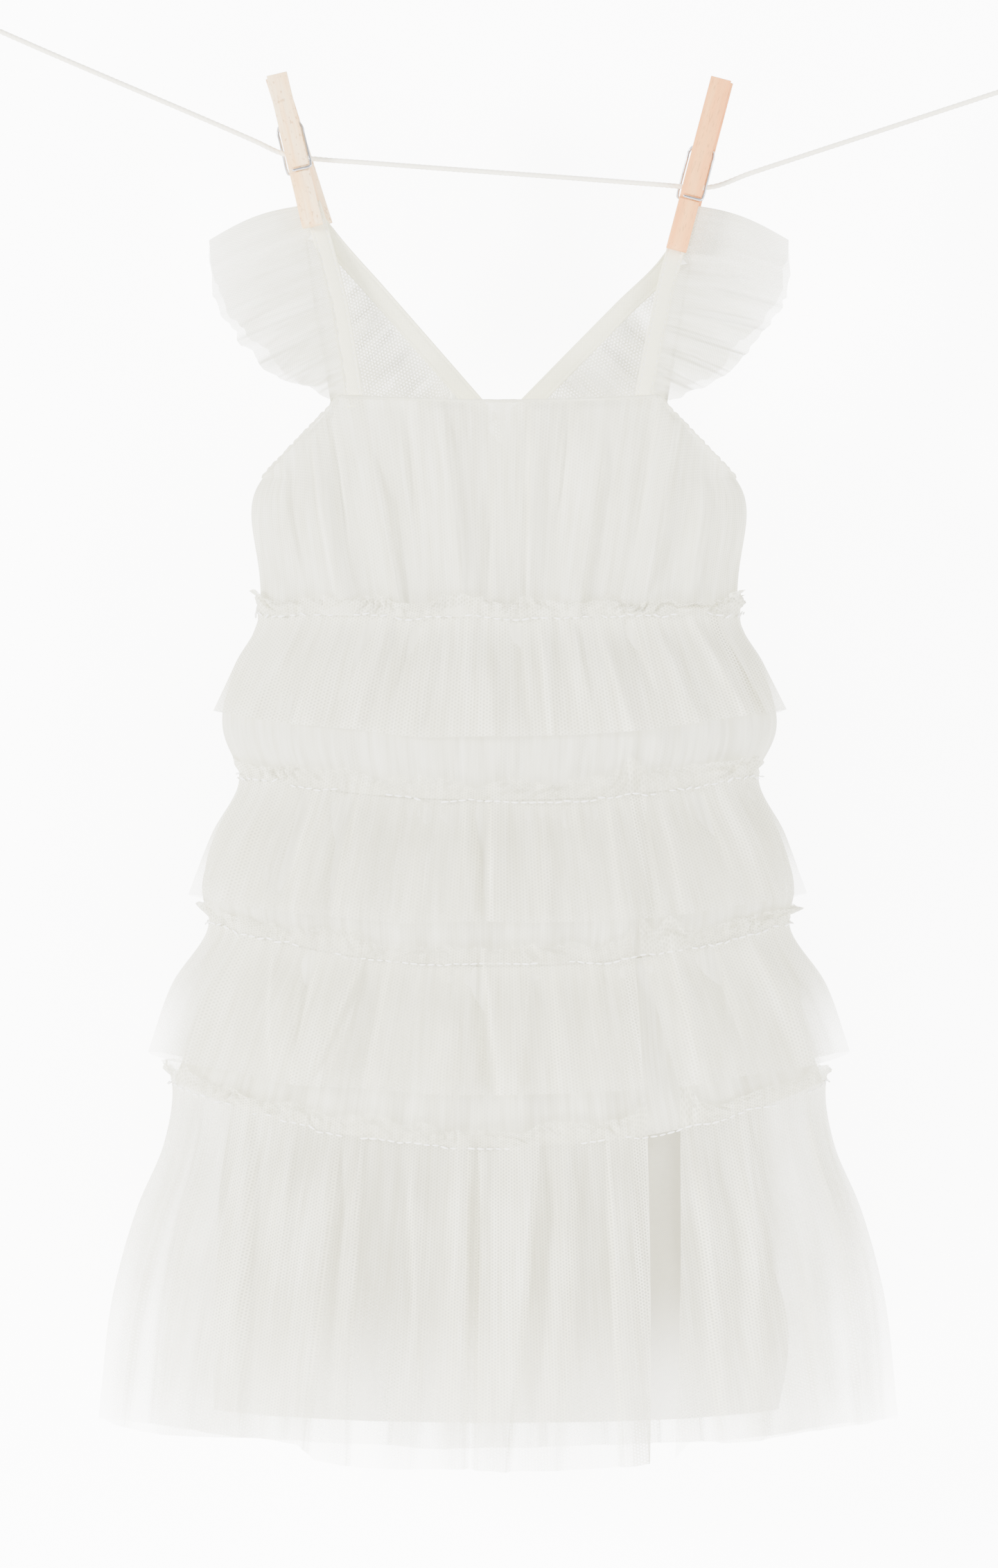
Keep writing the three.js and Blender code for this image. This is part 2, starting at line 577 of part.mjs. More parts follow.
function springWire(peg, material) {
  const beside = PEG_WIDTH / 2 + SEAM + WIRE_RADIUS;
  const lift = Math.tan(toRadians(peg.open)) * (PEG_FULCRUM - peg.wire);
  const seat = PEG_THICK - PEG_GROOVE + lift + 2 * SEAM + WIRE_RADIUS;
  const height = peg.wire + Math.tan(toRadians(peg.open)) * (PEG_THICK - PEG_GROOVE);
  const half = [
    [-3.3, -seat, height], [-1, -seat, height], [1.5, -seat, height], [beside - 1.9, -seat, height],
    [beside - 0.4, -seat + 0.3, height + 0.3], [beside, -seat + 1, height + 2],
    [beside, -seat + 2.4, height + 7], [beside, -COIL_RADIUS - 1.3, PEG_COIL - 7],
    [beside, -COIL_RADIUS - 0.3, PEG_COIL - 3],
  ];
  const coil = Array.from({ length: 8 * COIL_TURNS + 1 }, (_, k) => {
    const turn = (k / 8) * 2 * Math.PI;
    return [
      beside - (2 * beside * k) / (8 * COIL_TURNS),
      -COIL_RADIUS * Math.cos(turn),
      PEG_COIL + COIL_RADIUS * Math.sin(turn),
    ];
  });
  const otherHalf = half.map(([x, y, z]) => [-x, -y, z]).reverse();
  const path = new THREE.CatmullRomCurve3(
    [...half, ...coil, ...otherHalf].map(([x, y, z]) => new THREE.Vector3(x, y, z)),
    false,
    'centripetal',
  );
  const section = new THREE.Shape(Array.from({ length: 5 }, (_, k) => {
    const turn = (k / 5) * 2 * Math.PI;
    return new THREE.Vector2(WIRE_RADIUS * Math.cos(turn), WIRE_RADIUS * Math.sin(turn));
  }));
  return new THREE.Mesh(
    new THREE.ExtrudeGeometry(section, { steps: 66, extrudePath: path, bevelEnabled: false }),
    material,
  );
}

for (const [side, peg] of Object.entries(PEGS)) {
  const wood = side === 'left' ? BIRCH : BEECH;
  const whole = new THREE.Group();
  const front = new THREE.Group();
  const frontLeg = pegLeg(peg, wood);
  frontLeg.name = `peg_${side}_front_leg`;
  front.rotation.z = Math.PI;
  front.add(frontLeg);

  const rear = new THREE.Group();
  const rearLeg = pegLeg(peg, wood);
  rearLeg.name = `peg_${side}_rear_leg`;
  const handle = peg.long - 12;
  rear.position.set(peg.slip, 0, handle);
  rear.rotation.y = -toRadians(peg.skew);
  rearLeg.position.z -= handle;
  rear.add(rearLeg);

  const spring = springWire(peg, STEEL);
  spring.name = `peg_${side}_spring`;
  whole.add(front, rear, spring);
  whole.position.set(peg.x, 0, peg.z);
  whole.rotation.y = toRadians(peg.lean);
  model.add(whole);
}

// ---------------------------------------------------------------- clothes line
const linePath = new THREE.CatmullRomCurve3(
  LINE_ROUTE.map(({ x, z }) => new THREE.Vector3(x, 0, z)),
  false,
  'centripetal',
);
const lineSection = new THREE.Shape(Array.from({ length: 8 }, (_, k) => {
  const turn = ((k + 0.5) / 8) * 2 * Math.PI;
  return new THREE.Vector2(LINE_RADIUS * Math.cos(turn), LINE_RADIUS * Math.sin(turn));
}));
const line = new THREE.Mesh(
  new THREE.ExtrudeGeometry(lineSection, { steps: 60, extrudePath: linePath, bevelEnabled: false }),
  COTTON_CORD,
);
line.name = 'line';
model.add(line);

// Each end is knotted into a small loop.
for (const side of ['left', 'right']) {
  const end = side === 'left' ? LINE_ROUTE[0] : LINE_ROUTE[LINE_ROUTE.length - 1];
  const before = side === 'left' ? LINE_ROUTE[1] : LINE_ROUTE[LINE_ROUTE.length - 2];
  const run = new THREE.Vector3(end.x - before.x, 0, end.z - before.z).normalize();
  const holder = new THREE.Group();
  holder.position.set(end.x, 0, end.z);
  holder.quaternion.setFromUnitVectors(new THREE.Vector3(0, 1, 0), run);
  const profile = [
    [0, SEAM], [KNOT.radius * 0.75, SEAM + 0.4], [KNOT.radius, SEAM + KNOT.long * 0.35],
    [KNOT.radius, SEAM + KNOT.long * 0.65], [KNOT.radius * 0.75, SEAM + KNOT.long - 0.4],
    [0, SEAM + KNOT.long],
  ].map(([x, y]) => new THREE.Vector2(x, y));
  const knot = new THREE.Mesh(new THREE.LatheGeometry(profile, 10), COTTON_CORD);
  knot.name = `knot_${side}`;
  const loop = new THREE.Mesh(
    new THREE.TorusGeometry(END_LOOP_RADIUS, LINE_RADIUS, 8, 18),
    COTTON_CORD,
  );
  loop.name = `loop_${side}`;
  loop.position.y = KNOT.long + 2 * SEAM + END_LOOP_RADIUS + LINE_RADIUS;
  holder.add(knot, loop);
  model.add(holder);
}

export default model;
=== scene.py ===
"""A child's tiered tulle dress, pegged by its shoulders to a clothes line.

Metres. The front faces -Y and +Z is up. Left and right are those of someone who looks at the
front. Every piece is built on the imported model's form: the same rings, edges and routes, drawn
with finer gathers, raw headings, stitches and soft creases.
"""

import math
from collections import namedtuple

import bmesh
import bpy
import numpy as np
from bpy.props import FloatProperty, FloatVectorProperty, IntProperty, PointerProperty
from mathutils import Matrix, Vector


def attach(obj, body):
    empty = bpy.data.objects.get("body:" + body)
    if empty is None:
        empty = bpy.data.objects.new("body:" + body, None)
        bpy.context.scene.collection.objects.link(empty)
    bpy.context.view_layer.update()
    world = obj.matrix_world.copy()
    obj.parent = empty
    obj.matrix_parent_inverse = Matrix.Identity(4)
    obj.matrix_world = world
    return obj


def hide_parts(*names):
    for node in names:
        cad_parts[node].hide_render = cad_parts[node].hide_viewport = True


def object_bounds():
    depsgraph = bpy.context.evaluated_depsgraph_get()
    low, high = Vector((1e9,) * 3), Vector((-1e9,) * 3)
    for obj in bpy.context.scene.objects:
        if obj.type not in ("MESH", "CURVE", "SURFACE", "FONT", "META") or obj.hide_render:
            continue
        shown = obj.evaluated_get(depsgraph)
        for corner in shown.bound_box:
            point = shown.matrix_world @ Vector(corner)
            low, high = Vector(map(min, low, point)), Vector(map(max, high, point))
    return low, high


bl_info = {
    "name": "Tiered tulle dress on a clothes line",
    "version": (1, 0, 0),
    "blender": (4, 5, 0),
    "location": "View3D > Sidebar > Dress",
    "description": "Builds a gathered tulle dress, its pegs and its line on the packed model",
    "category": "Add Mesh",
}

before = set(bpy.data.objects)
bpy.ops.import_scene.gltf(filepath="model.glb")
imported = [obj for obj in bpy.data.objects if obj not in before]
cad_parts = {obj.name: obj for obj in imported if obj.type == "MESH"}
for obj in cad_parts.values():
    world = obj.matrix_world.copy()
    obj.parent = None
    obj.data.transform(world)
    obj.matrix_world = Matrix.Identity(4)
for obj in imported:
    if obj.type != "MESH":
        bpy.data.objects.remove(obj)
CAD_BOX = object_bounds()
BODY = "root"
WAY = {"left": -1, "right": 1}       # which way x runs from the middle on each side

# ---------------------------------------------------------------- sizes of the skirt
SECTION_POWER = 2.4      # squareness of the flattened skirt section
SAG_POWER = 2.2          # how quickly a seam drops away from the side
SEAM = 0.0003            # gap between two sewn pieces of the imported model
HEADING_ROW, BODY_ROW, TUBE_ROW = 0.0009, 0.0026, 0.003     # rows of points down the cloth
STEEPEST = 1.2           # slope beyond which net gets no denser
SELVEDGE, SELVEDGE_CORD = 0.0080, 0.0008                    # width of the woven edge and its cord

# A ring of the flattened skirt: its height at the sides, how far its middle hangs below that, and
# its half width and half depth.
Ring = namedtuple("Ring", "z sag wide deep")
# A long fold of a skirt tier: at is a fraction of the half width, at the seam and at the hem,
# share is from the seam (0) to the hem (1), and the steeper flank is on the side of the sign
# of steep, which is 3 for a knife pleat. A negative height is a trough.
Fold = namedtuple("Fold", "top hem wide high start end steep")


def fold_rows(*rows):
    return [Fold(*row) for row in rows]


# A stretch of heading that stands higher or curls: at on the front half, reach across, height.
Tuft = namedtuple("Tuft", "at wide high")
# Where a flounce's strip starts and ends, at the seam and at the hem.
Ends = namedtuple("Ends", "start_seam start_hem end_seam end_hem")
# cover is how much the net hides at the seam and at the hem.
Tier = namedtuple("Tier", "rings folds tufts ends cover")

SEAM_RINGS = [
    Ring(-0.203, 0.002, 0.1105, 0.014),
    Ring(-0.277, 0.0115, 0.119, 0.020),
    Ring(-0.344, 0.020, 0.133, 0.027),
    Ring(-0.4175, 0.0285, 0.150, 0.034),
]
WAIST = SEAM_RINGS[0]
TIERS = [
    Tier(
        [Ring(-0.195, 0.002, 0.1130, 0.0175), SEAM_RINGS[0],
         Ring(-0.225, 0.007, 0.1208, 0.022), Ring(-0.2465, 0.013, 0.1315, 0.027)],
        fold_rows(
            (-0.80, -0.88, 0.045, 0.0022, 0.0, 1.1, 1), (-0.64, -0.70, 0.05, 0.0030, 0.1, 1.1, -1),
            (-0.51, -0.60, 0.035, -0.0022, 0.0, 0.9, 1), (-0.44, -0.50, 0.04, 0.0028, 0.0, 1.1, 1),
            (-0.33, -0.42, 0.03, -0.0020, 0.05, 0.8, -1), (-0.23, -0.30, 0.04, 0.0026, 0.2, 1.1, 1),
            (-0.11, -0.15, 0.035, 0.0018, 0.0, 0.7, -1), (-0.03, -0.02, 0.05, 0.0026, 0.3, 1.1, 1),
            (0.08, 0.10, 0.03, -0.0016, 0.0, 0.9, 1), (0.17, 0.19, 0.045, 0.0028, 0.1, 1.1, -1),
            (0.30, 0.34, 0.035, 0.0018, 0.0, 0.8, 1), (0.41, 0.46, 0.04, 0.0030, 0.2, 1.1, -1),
            (0.53, 0.58, 0.03, -0.0018, 0.0, 0.7, 1), (0.64, 0.70, 0.05, 0.0026, 0.1, 1.1, 1),
            (0.80, 0.87, 0.04, 0.0024, 0.0, 1.1, -1)),
        [Tuft(-0.98, 0.05, 0.002), Tuft(-0.22, 0.06, 0.002), Tuft(0.12, 0.05, 0.0015),
         Tuft(0.99, 0.05, 0.002)],
        Ends(0.90, 0.93, 0.935, 0.965), (1.0, 0.88),
    ),
    Tier(
        [Ring(-0.2685, 0.0115, 0.1215, 0.0245), SEAM_RINGS[1],
         Ring(-0.304, 0.012, 0.1315, 0.029), Ring(-0.3315, 0.013, 0.142, 0.035)],
        fold_rows(
            (-0.86, -0.90, 0.05, 0.0030, 0.0, 1.1, 1), (-0.74, -0.72, 0.035, -0.0025, 0.1, 0.9, -1),
            (-0.66, -0.66, 0.045, 0.0036, 0.0, 1.1, 1), (-0.575, -0.545, 0.03, -0.0034, 0.0, 1.1, 1),
            (-0.53, -0.51, 0.09, 0.0045, 0.0, 1.1, -3), (-0.37, -0.37, 0.03, 0.0020, 0.0, 0.6, 1),
            (-0.26, -0.27, 0.05, 0.0034, 0.3, 1.1, 1), (-0.12, -0.11, 0.035, 0.0022, 0.0, 0.7, -1),
            (-0.055, -0.04, 0.03, -0.0036, 0.0, 1.1, 1), (-0.03, -0.02, 0.10, 0.0045, 0.0, 1.1, -3),
            (0.18, 0.15, 0.04, 0.0026, 0.2, 1.1, 1), (0.30, 0.31, 0.03, 0.0018, 0.0, 0.6, 1),
            (0.42, 0.40, 0.035, 0.0028, 0.0, 1.1, -1), (0.62, 0.60, 0.045, 0.0034, 0.1, 1.1, -1),
            (0.76, 0.78, 0.03, -0.0022, 0.0, 0.8, 1), (0.87, 0.89, 0.045, 0.0030, 0.0, 1.1, 1)),
        [Tuft(-0.60, 0.06, 0.003), Tuft(-0.30, 0.08, 0.0015), Tuft(0.10, 0.07, 0.0015),
         Tuft(0.52, 0.05, 0.008)],
        Ends(0.545, 0.50, 0.56, 0.525), (0.62, 0.50),
    ),
    Tier(
        [Ring(-0.3355, 0.020, 0.1355, 0.0325), SEAM_RINGS[2],
         Ring(-0.373, 0.019, 0.1497, 0.037), Ring(-0.4047, 0.0173, 0.1605, 0.043)],
        fold_rows(
            (-0.88, -0.91, 0.045, 0.0038, 0.0, 1.1, 1), (-0.77, -0.63, 0.03, 0.0026, 0.0, 1.0, -1),
            (-0.70, -0.58, 0.04, 0.0040, 0.2, 1.1, 1), (-0.63, -0.595, 0.03, -0.0040, 0.0, 1.1, 1),
            (-0.475, -0.545, 0.11, 0.0055, 0.0, 1.0, 3), (-0.44, -0.50, 0.05, 0.0035, 0.3, 1.1, 3),
            (-0.36, -0.36, 0.045, 0.0040, 0.0, 1.1, -1), (-0.15, -0.14, 0.05, 0.0034, 0.3, 1.1, 1),
            (-0.065, -0.01, 0.03, -0.0040, 0.0, 1.1, 1), (-0.05, 0.0, 0.08, 0.0055, 0.0, 1.1, -3),
            (0.10, 0.05, 0.05, 0.0030, 0.0, 1.0, 3), (0.20, 0.18, 0.05, 0.0040, 0.1, 1.1, -1),
            (0.33, 0.31, 0.03, 0.0024, 0.0, 0.7, 1), (0.60, 0.57, 0.045, 0.0042, 0.0, 1.1, -1),
            (0.72, 0.70, 0.04, -0.0030, 0.0, 0.8, 1), (0.87, 0.90, 0.04, 0.0044, 0.0, 1.1, 1)),
        [Tuft(-0.98, 0.04, 0.002), Tuft(-0.52, 0.08, 0.003), Tuft(-0.06, 0.06, 0.002),
         Tuft(0.50, 0.04, 0.010), Tuft(0.60, 0.04, 0.008)],
        Ends(0.49, 0.505, 0.465, 0.405), (0.62, 0.52),
    ),
    Tier(
        [Ring(-0.409, 0.0285, 0.1520, 0.038), SEAM_RINGS[3],
         Ring(-0.446, 0.027, 0.1535, 0.038), Ring(-0.475, 0.025, 0.1655, 0.041),
         Ring(-0.512, 0.022, 0.176, 0.0445), Ring(-0.573, 0.0185, 0.1835, 0.049)],
        fold_rows(
            (-0.93, -0.93, 0.03, 0.0050, 0.0, 1.1, 1), (-0.86, -0.83, 0.05, 0.0040, 0.3, 1.1, -1),
            (-0.755, -0.64, 0.045, 0.0060, 0.0, 1.1, 1), (-0.62, -0.57, 0.035, 0.0040, 0.0, 0.6, 1),
            (-0.49, -0.48, 0.11, 0.0085, 0.05, 1.1, 3), (-0.42, -0.375, 0.05, 0.0050, 0.0, 1.1, 3),
            (-0.26, -0.18, 0.04, 0.0036, 0.0, 0.6, -1), (-0.20, -0.23, 0.05, 0.0050, 0.5, 1.1, 1),
            (-0.095, -0.085, 0.05, 0.0060, 0.0, 1.1, 3), (-0.07, -0.068, 0.024, -0.0060, 0.0, 1.1, 1),
            (0.11, 0.015, 0.10, 0.0085, 0.0, 1.1, 3), (0.215, 0.13, 0.05, 0.0055, 0.0, 1.1, 1),
            (0.33, 0.305, 0.07, 0.0060, 0.0, 1.1, -3), (0.60, 0.56, 0.05, 0.0066, 0.1, 1.1, -1),
            (0.755, 0.64, 0.04, 0.0060, 0.1, 1.1, 1), (0.85, 0.80, 0.04, 0.0040, 0.4, 1.1, -1),
            (0.95, 0.90, 0.03, 0.0050, 0.0, 1.1, -1)),
        [Tuft(-0.97, 0.04, 0.002), Tuft(-0.62, 0.06, 0.002), Tuft(-0.36, 0.07, 0.003),
         Tuft(0.16, 0.06, 0.002), Tuft(0.46, 0.04, 0.011), Tuft(0.56, 0.035, 0.013)],
        Ends(0.55, 0.435, 0.45, 0.372), (0.70, 0.38),
    ),
]
# The last tier's hem is raised outside the middle third: at, and how far.
HEM_RISE = [(-1, 0.0025), (-0.86, 0.002), (-0.57, 0.008), (-0.49, 0.0085), (-0.455, 0.002),
            (-0.34, 0), (0.34, 0), (0.43, 0.001), (0.47, 0.009), (0.92, 0.003), (1, 0.0025)]
# Random unevenness of cloth: its height, its spacing across and its reach down the cloth.
Wave = namedtuple("Wave", "high spacing reach")
FLOUNCE_PATCH = Wave(0.45, 0.030, 0.10)       # where the gathers are stronger or weaker
FLOUNCE_SWELL = Wave(0.0034, 0.030, 0.30)
FLOUNCE_GATHER = Wave(0.0007, 0.0095, 0.12)
SEAM_PLEAT = Wave(0.0005, 0.0042, 0.030)      # the small pleats at any gathered seam
HEADING_RUMPLE = Wave(0.0052, 0.0072, 0.0045)
HEADING_FRILL = Wave(0.0022, 0.0036, 0.0030)
# Uneven cut edges: rows of height and spacing.
HEADING_EDGE = ((0.0022, 0.013), (0.0009, 0.004))
HEM_EDGE = ((0.0010, 0.030), (0.0002, 0.006))
PLEATED_WITHIN = 0.016   # how far from a seam its pleats stand high
LOOSE_BELOW = 0.030      # where the wider gathers below a seam have their full height
DEEP_CREASE = 0.0012
# How much more or less of what is behind it a flounce's net hides: for each metre of a fold's
# height and at most so much, on a steep flank, in the heading, at its cut edge and in its creases.
HEIGHT_COVER, TROUGH_COVER, CREST_COVER = 45, -0.34, 0.32
FLANK_COVER, HEADING_COVER, CUT_EDGE_COVER, CREASE_COVER = 0.20, 0.10, -0.25, -0.25
# The same at a spot left of the middle where fewer layers lie together, and along the last hem.
THIN_SPOT, THIN_SPOT_WIDE, THIN_SPOT_COVER = -0.32, 0.20, -0.14
HEM_COVER = -0.10
BASE_BULGES = [
    Ring(-0.259, 0.009, 0.1265, 0.0240),
    Ring(-0.333, 0.017, 0.136, 0.0310),
    Ring(-0.403, 0.026, 0.1440, 0.0360),
]
BASE_COVERS = (1.15, 0.92, 0.95)              # how much each panel's net hides
BASE_WAVE, BASE_GATHER = Wave(0.0014, 0.012, 0.08), Wave(0.0005, 0.0045, 0.03)
LINING_WAVE = Wave(0.002, 0.045, 0.08)
LINING_RINGS = [
    Ring(-0.2035, 0.002, 0.104, 0.0095), Ring(-0.280, 0.003, 0.112, 0.0135),
    Ring(-0.417, 0.003, 0.121, 0.022), Ring(-0.568, 0.0035, 0.128, 0.031),
]
LINING_FOLDS = fold_rows(
    (-0.70, -0.80, 0.09, 0.0022, 0.3, 1.1, 1), (-0.40, -0.46, 0.08, 0.0030, 0.2, 1.1, -1),
    (-0.08, -0.05, 0.08, 0.0026, 0.3, 1.1, 1), (0.22, 0.30, 0.09, 0.0030, 0.2, 1.1, -1),
    (0.60, 0.66, 0.08, 0.0024, 0.4, 1.1, 1))

# ---------------------------------------------------------------- sizes of the bodice
UNDERARM = (0.1086, -0.1405)
FRONT_CORNER = (0.0726, -0.1032)       # where the strap's outer edge meets the front
FRONT_DIP = 0.0022
SCALLOPS, SCALLOP_DEPTH = 15, 0.0005   # the gathered armhole edge
TAPE_WIDTH, TAPE_THICK = 0.0084, 0.0010
TAPE_GROOVE = 0.68       # where its stitches run, as a fraction of its half width
# One face of a tape: fractions of its half width and of its thickness.
TAPE_FACE = [(-1.0, 0.0), (-0.97, 0.42), (-0.88, 0.5), (-0.74, 0.47), (-TAPE_GROOVE, 0.30),
             (-0.62, 0.47), (-0.3, 0.52), (0.0, 0.54), (0.3, 0.52), (0.62, 0.47),
             (TAPE_GROOVE, 0.30), (0.74, 0.47), (0.88, 0.5), (0.97, 0.42), (1.0, 0.0)]
NECK_MITRE_X = 0.0008
WAIST_INSET = 0.0009
SIDE_BULGE = 0.0474      # how much the sides round out below the underarm
BODICE_PATCH = Wave(0.5, 0.020, 0.06)
BODICE_GATHER = Wave(0.0006, 0.0105, 0.060)
BODICE_SWELL = Wave(0.0020, 0.018, 0.045)
YOKE_GATHER = Wave(0.0013, 0.0062, 0.045)
YOKE_PLEAT = Wave(0.0009, 0.0034, 0.030)
# Half depth of the bodice at each height, front and back.
FRONT_DEPTH = [(-0.014, 0.00075), (-0.026, 0.00075), (-0.045, 0.0034), (-0.075, 0.0066),
               (-0.103, 0.0095), (-0.130, 0.0126), (-0.155, 0.0146), (-0.2027, 0.014)]
BACK_DEPTH = [(-0.014, 0.00075), (-0.026, 0.00075), (-0.042, 0.0026), (-0.062, 0.0046),
              (-0.100, 0.0084), (-0.141, 0.0128), (-0.2027, 0.014)]
STRAPS = {
    "left": [(-0.0863, -0.014), (-0.0824, -0.0262), (-0.0786, -0.040), (-0.0739, -0.059),
             (-0.0701, -0.080), (-0.0668, -0.1014)],
    "right": [(0.086, -0.016), (0.0806, -0.0374), (0.0764, -0.054), (0.0722, -0.074),
              (0.069, -0.090), (0.0668, -0.1014)],
}
# The end of each strap behind the front's top edge.
STRAP_FOOT = {"left": (-0.0656, -0.1080), "right": (0.0656, -0.1080)}
NECK_TAPES = {
    "left": [(-0.0861, -0.015), (-0.0834, -0.0226), (-0.0784, -0.0293), (-0.0556, -0.0553),
             (-0.0328, -0.0812), (-0.006, -0.1118)],
    "right": [(0.0864, -0.0165), (0.0846, -0.031), (0.0786, -0.0404), (0.0565, -0.0628),
              (0.034, -0.0855), (0.0075, -0.1123)],
}
# Back armhole edge as a mirrored half from the shoulder: x, z, and the foot of the gather that
# ends there, as a fraction of the waist's half width.
SHOULDERS = {"left": (0.0886, -0.0305, 0.49), "right": (0.0882, -0.0415, 0.49)}
ARMHOLE = [(0.0862, -0.050, 0.525), (0.083, -0.072, 0.56), (0.0778, -0.092, 0.62),
           (0.0757, -0.106, 0.71), (0.0912, -0.1225, 0.86), (*UNDERARM, 1.0)]
NECK_FOOT = 0.45
BODICE_FOLDS = fold_rows(
    (-0.86, -0.80, 0.04, 0.0012, 0.0, 0.8, 1), (-0.70, -0.66, 0.07, 0.0017, 0.1, 1.0, -3),
    (-0.56, -0.60, 0.03, -0.0011, 0.0, 0.7, 1), (-0.43, -0.40, 0.07, 0.0018, 0.3, 1.1, 3),
    (-0.30, -0.31, 0.025, -0.0010, 0.0, 0.6, -1), (-0.18, -0.14, 0.03, 0.0013, 0.0, 0.9, 1),
    (-0.02, -0.05, 0.03, -0.0011, 0.4, 1.1, 1), (0.10, 0.12, 0.06, 0.0018, 0.0, 1.0, -3),
    (0.22, 0.20, 0.025, -0.0012, 0.0, 0.6, -1), (0.36, 0.33, 0.07, 0.0016, 0.2, 1.1, 3),
    (0.50, 0.52, 0.03, -0.0011, 0.0, 0.8, 1), (0.64, 0.60, 0.07, 0.0017, 0.0, 0.9, 3),
    (0.82, 0.79, 0.04, 0.0012, 0.2, 1.0, 1))

# ---------------------------------------------------------------- sizes of the sleeves
# Free edge of a sleeve flounce: along is 0 at the shoulder ridge and 1 at its lower end.
SLEEVE_EDGE = {
    "front": [(0, 0.1332, -0.031), (0.15, 0.1326, -0.048), (0.33, 0.128, -0.064),
              (0.5, 0.1195, -0.076), (0.7, 0.107, -0.0895), (0.85, 0.094, -0.098),
              (1, 0.0774, -0.104)],
    "back": [(0, 0.1332, -0.031), (0.15, 0.1314, -0.046), (0.33, 0.1255, -0.061),
             (0.5, 0.116, -0.073), (0.7, 0.103, -0.086), (0.85, 0.0935, -0.0945),
             (1, 0.0855, -0.0995)],
}
# Where a sleeve's inner edge goes in between the peg's legs, and where it comes out.
SLEEVE_RIDGE = {"left": (-0.0903, -0.0150), "right": (0.0893, -0.0150)}
PEG_CORNER = {"left": (-0.0858, -0.0280), "right": (0.0840, -0.0395)}
PEG_SHARE = 0.18         # share of the inner edge that lies between the legs
SLEEVE_GATHER = Wave(0.0005, 0.0050, 0.03)
SLEEVE_SWELL = Wave(0.0024, 0.019, 1 / 12)
SLEEVE_RIPPLE = Wave(0.0006, 0.006, 0.04)
SLEEVE_EDGE_WAVES = ((0.0014, 0.010), (0.0006, 0.0035))
# Folds of a sleeve: places are from the shoulder (0) to its lower end (1), first at the strap and
# then at the free edge.
SLEEVE_FOLDS = fold_rows(
    (0.10, 0.12, 0.05, 0.0012, 0.2, 1.1, 1), (0.24, 0.20, 0.035, -0.0010, 0.0, 0.7, 1),
    (0.33, 0.33, 0.04, 0.0014, 0.3, 1.1, -1), (0.45, 0.42, 0.025, -0.0018, 0.0, 0.9, 1),
    (0.50, 0.49, 0.035, 0.0024, 0.0, 1.1, -1), (0.58, 0.60, 0.022, -0.0016, 0.0, 0.8, 1),
    (0.63, 0.65, 0.03, 0.0024, 0.0, 1.1, -1), (0.71, 0.74, 0.02, -0.0018, 0.0, 1.1, 1),
    (0.76, 0.79, 0.03, 0.0026, 0.0, 1.1, -1), (0.84, 0.87, 0.02, -0.0016, 0.0, 1.0, 1),
    (0.90, 0.93, 0.03, 0.0020, 0.0, 1.1, -1))

# ---------------------------------------------------------------- sizes of the pegs and line
# Where a peg's jaws end, its lean and how far its legs open in degrees, and the height of the
# spring's cross wire above its jaws.
Peg = namedtuple("Peg", "x z lean wire open")
PEGS = {
    "left": Peg(-0.0854, -0.0254, -13.3, 0.0268, 2.6),
    "right": Peg(0.0812, -0.0363, 14.7, 0.0247, 3),
}
PEG_WIDTH, PEG_THICK, PEG_GROOVE = 0.0096, 0.0066, 0.0008
PEG_COIL, PEG_FULCRUM = 0.0462, 0.0505     # heights above the jaws
PEG_EASING = 0.00035                       # how far the sawn edges are rounded
WIRE_RADIUS, WIRE_SIDES = 0.00065, 14
COIL_RADIUS, COIL_TURNS, COIL_STEPS = 0.00235, 2.5, 24
# Sizes of the darker flecks, across and along a leg: 1.4 by 2.4 mm in birch, 0.7 by 4.5 in beech.
BIRCH_FLECKS = (1 / 700, 1 / 700, 1 / 420)
BEECH_FLECKS = (1 / 1400, 1 / 1400, 1 / 220)
LINE_DIAMETER, LINE_LAY = 0.0024, 0.0072
LINE_PLIES, LINE_SIDES = 3, 18
# The knot at each end of the line, wound in turns, and the loop beyond it, which is an arc of
# twice LOOP_OPEN degrees.
KNOT_TURNS, KNOT_START, KNOT_LENGTH, KNOT_RADIUS = 3.2, 0.0009, 0.0046, 0.0014
KNOT_CORD, KNOT_LAY = 0.0022, 0.006
LOOP_CENTRE, LOOP_RADIUS, LOOP_OPEN = 0.0128, 0.005, 168
LINE_ROUTE = [
    (-0.233, 0.0666), (-0.200, 0.0522), (-0.170, 0.0394), (-0.140, 0.0266), (-0.1115, 0.0142),
    (-0.0996, 0.0088), (-0.0931, 0.0072), (-0.0845, 0.0063), (-0.060, 0.0045), (-0.030, 0.0022),
    (0, 0), (0.030, -0.0022), (0.060, -0.0045), (0.0835, -0.0064), (0.0889, -0.007),
    (0.0975, -0.0066), (0.1146, -0.0006), (0.140, 0.0078), (0.170, 0.0176), (0.200, 0.0274),
    (0.233, 0.0382),
]

# ---------------------------------------------------------------- sizes of the stage
VIEW_HIGH, VIEW_MIDDLE = 0.7207, -0.2810         # what the camera sees at the dress
CAMERA_FAR = 3.0
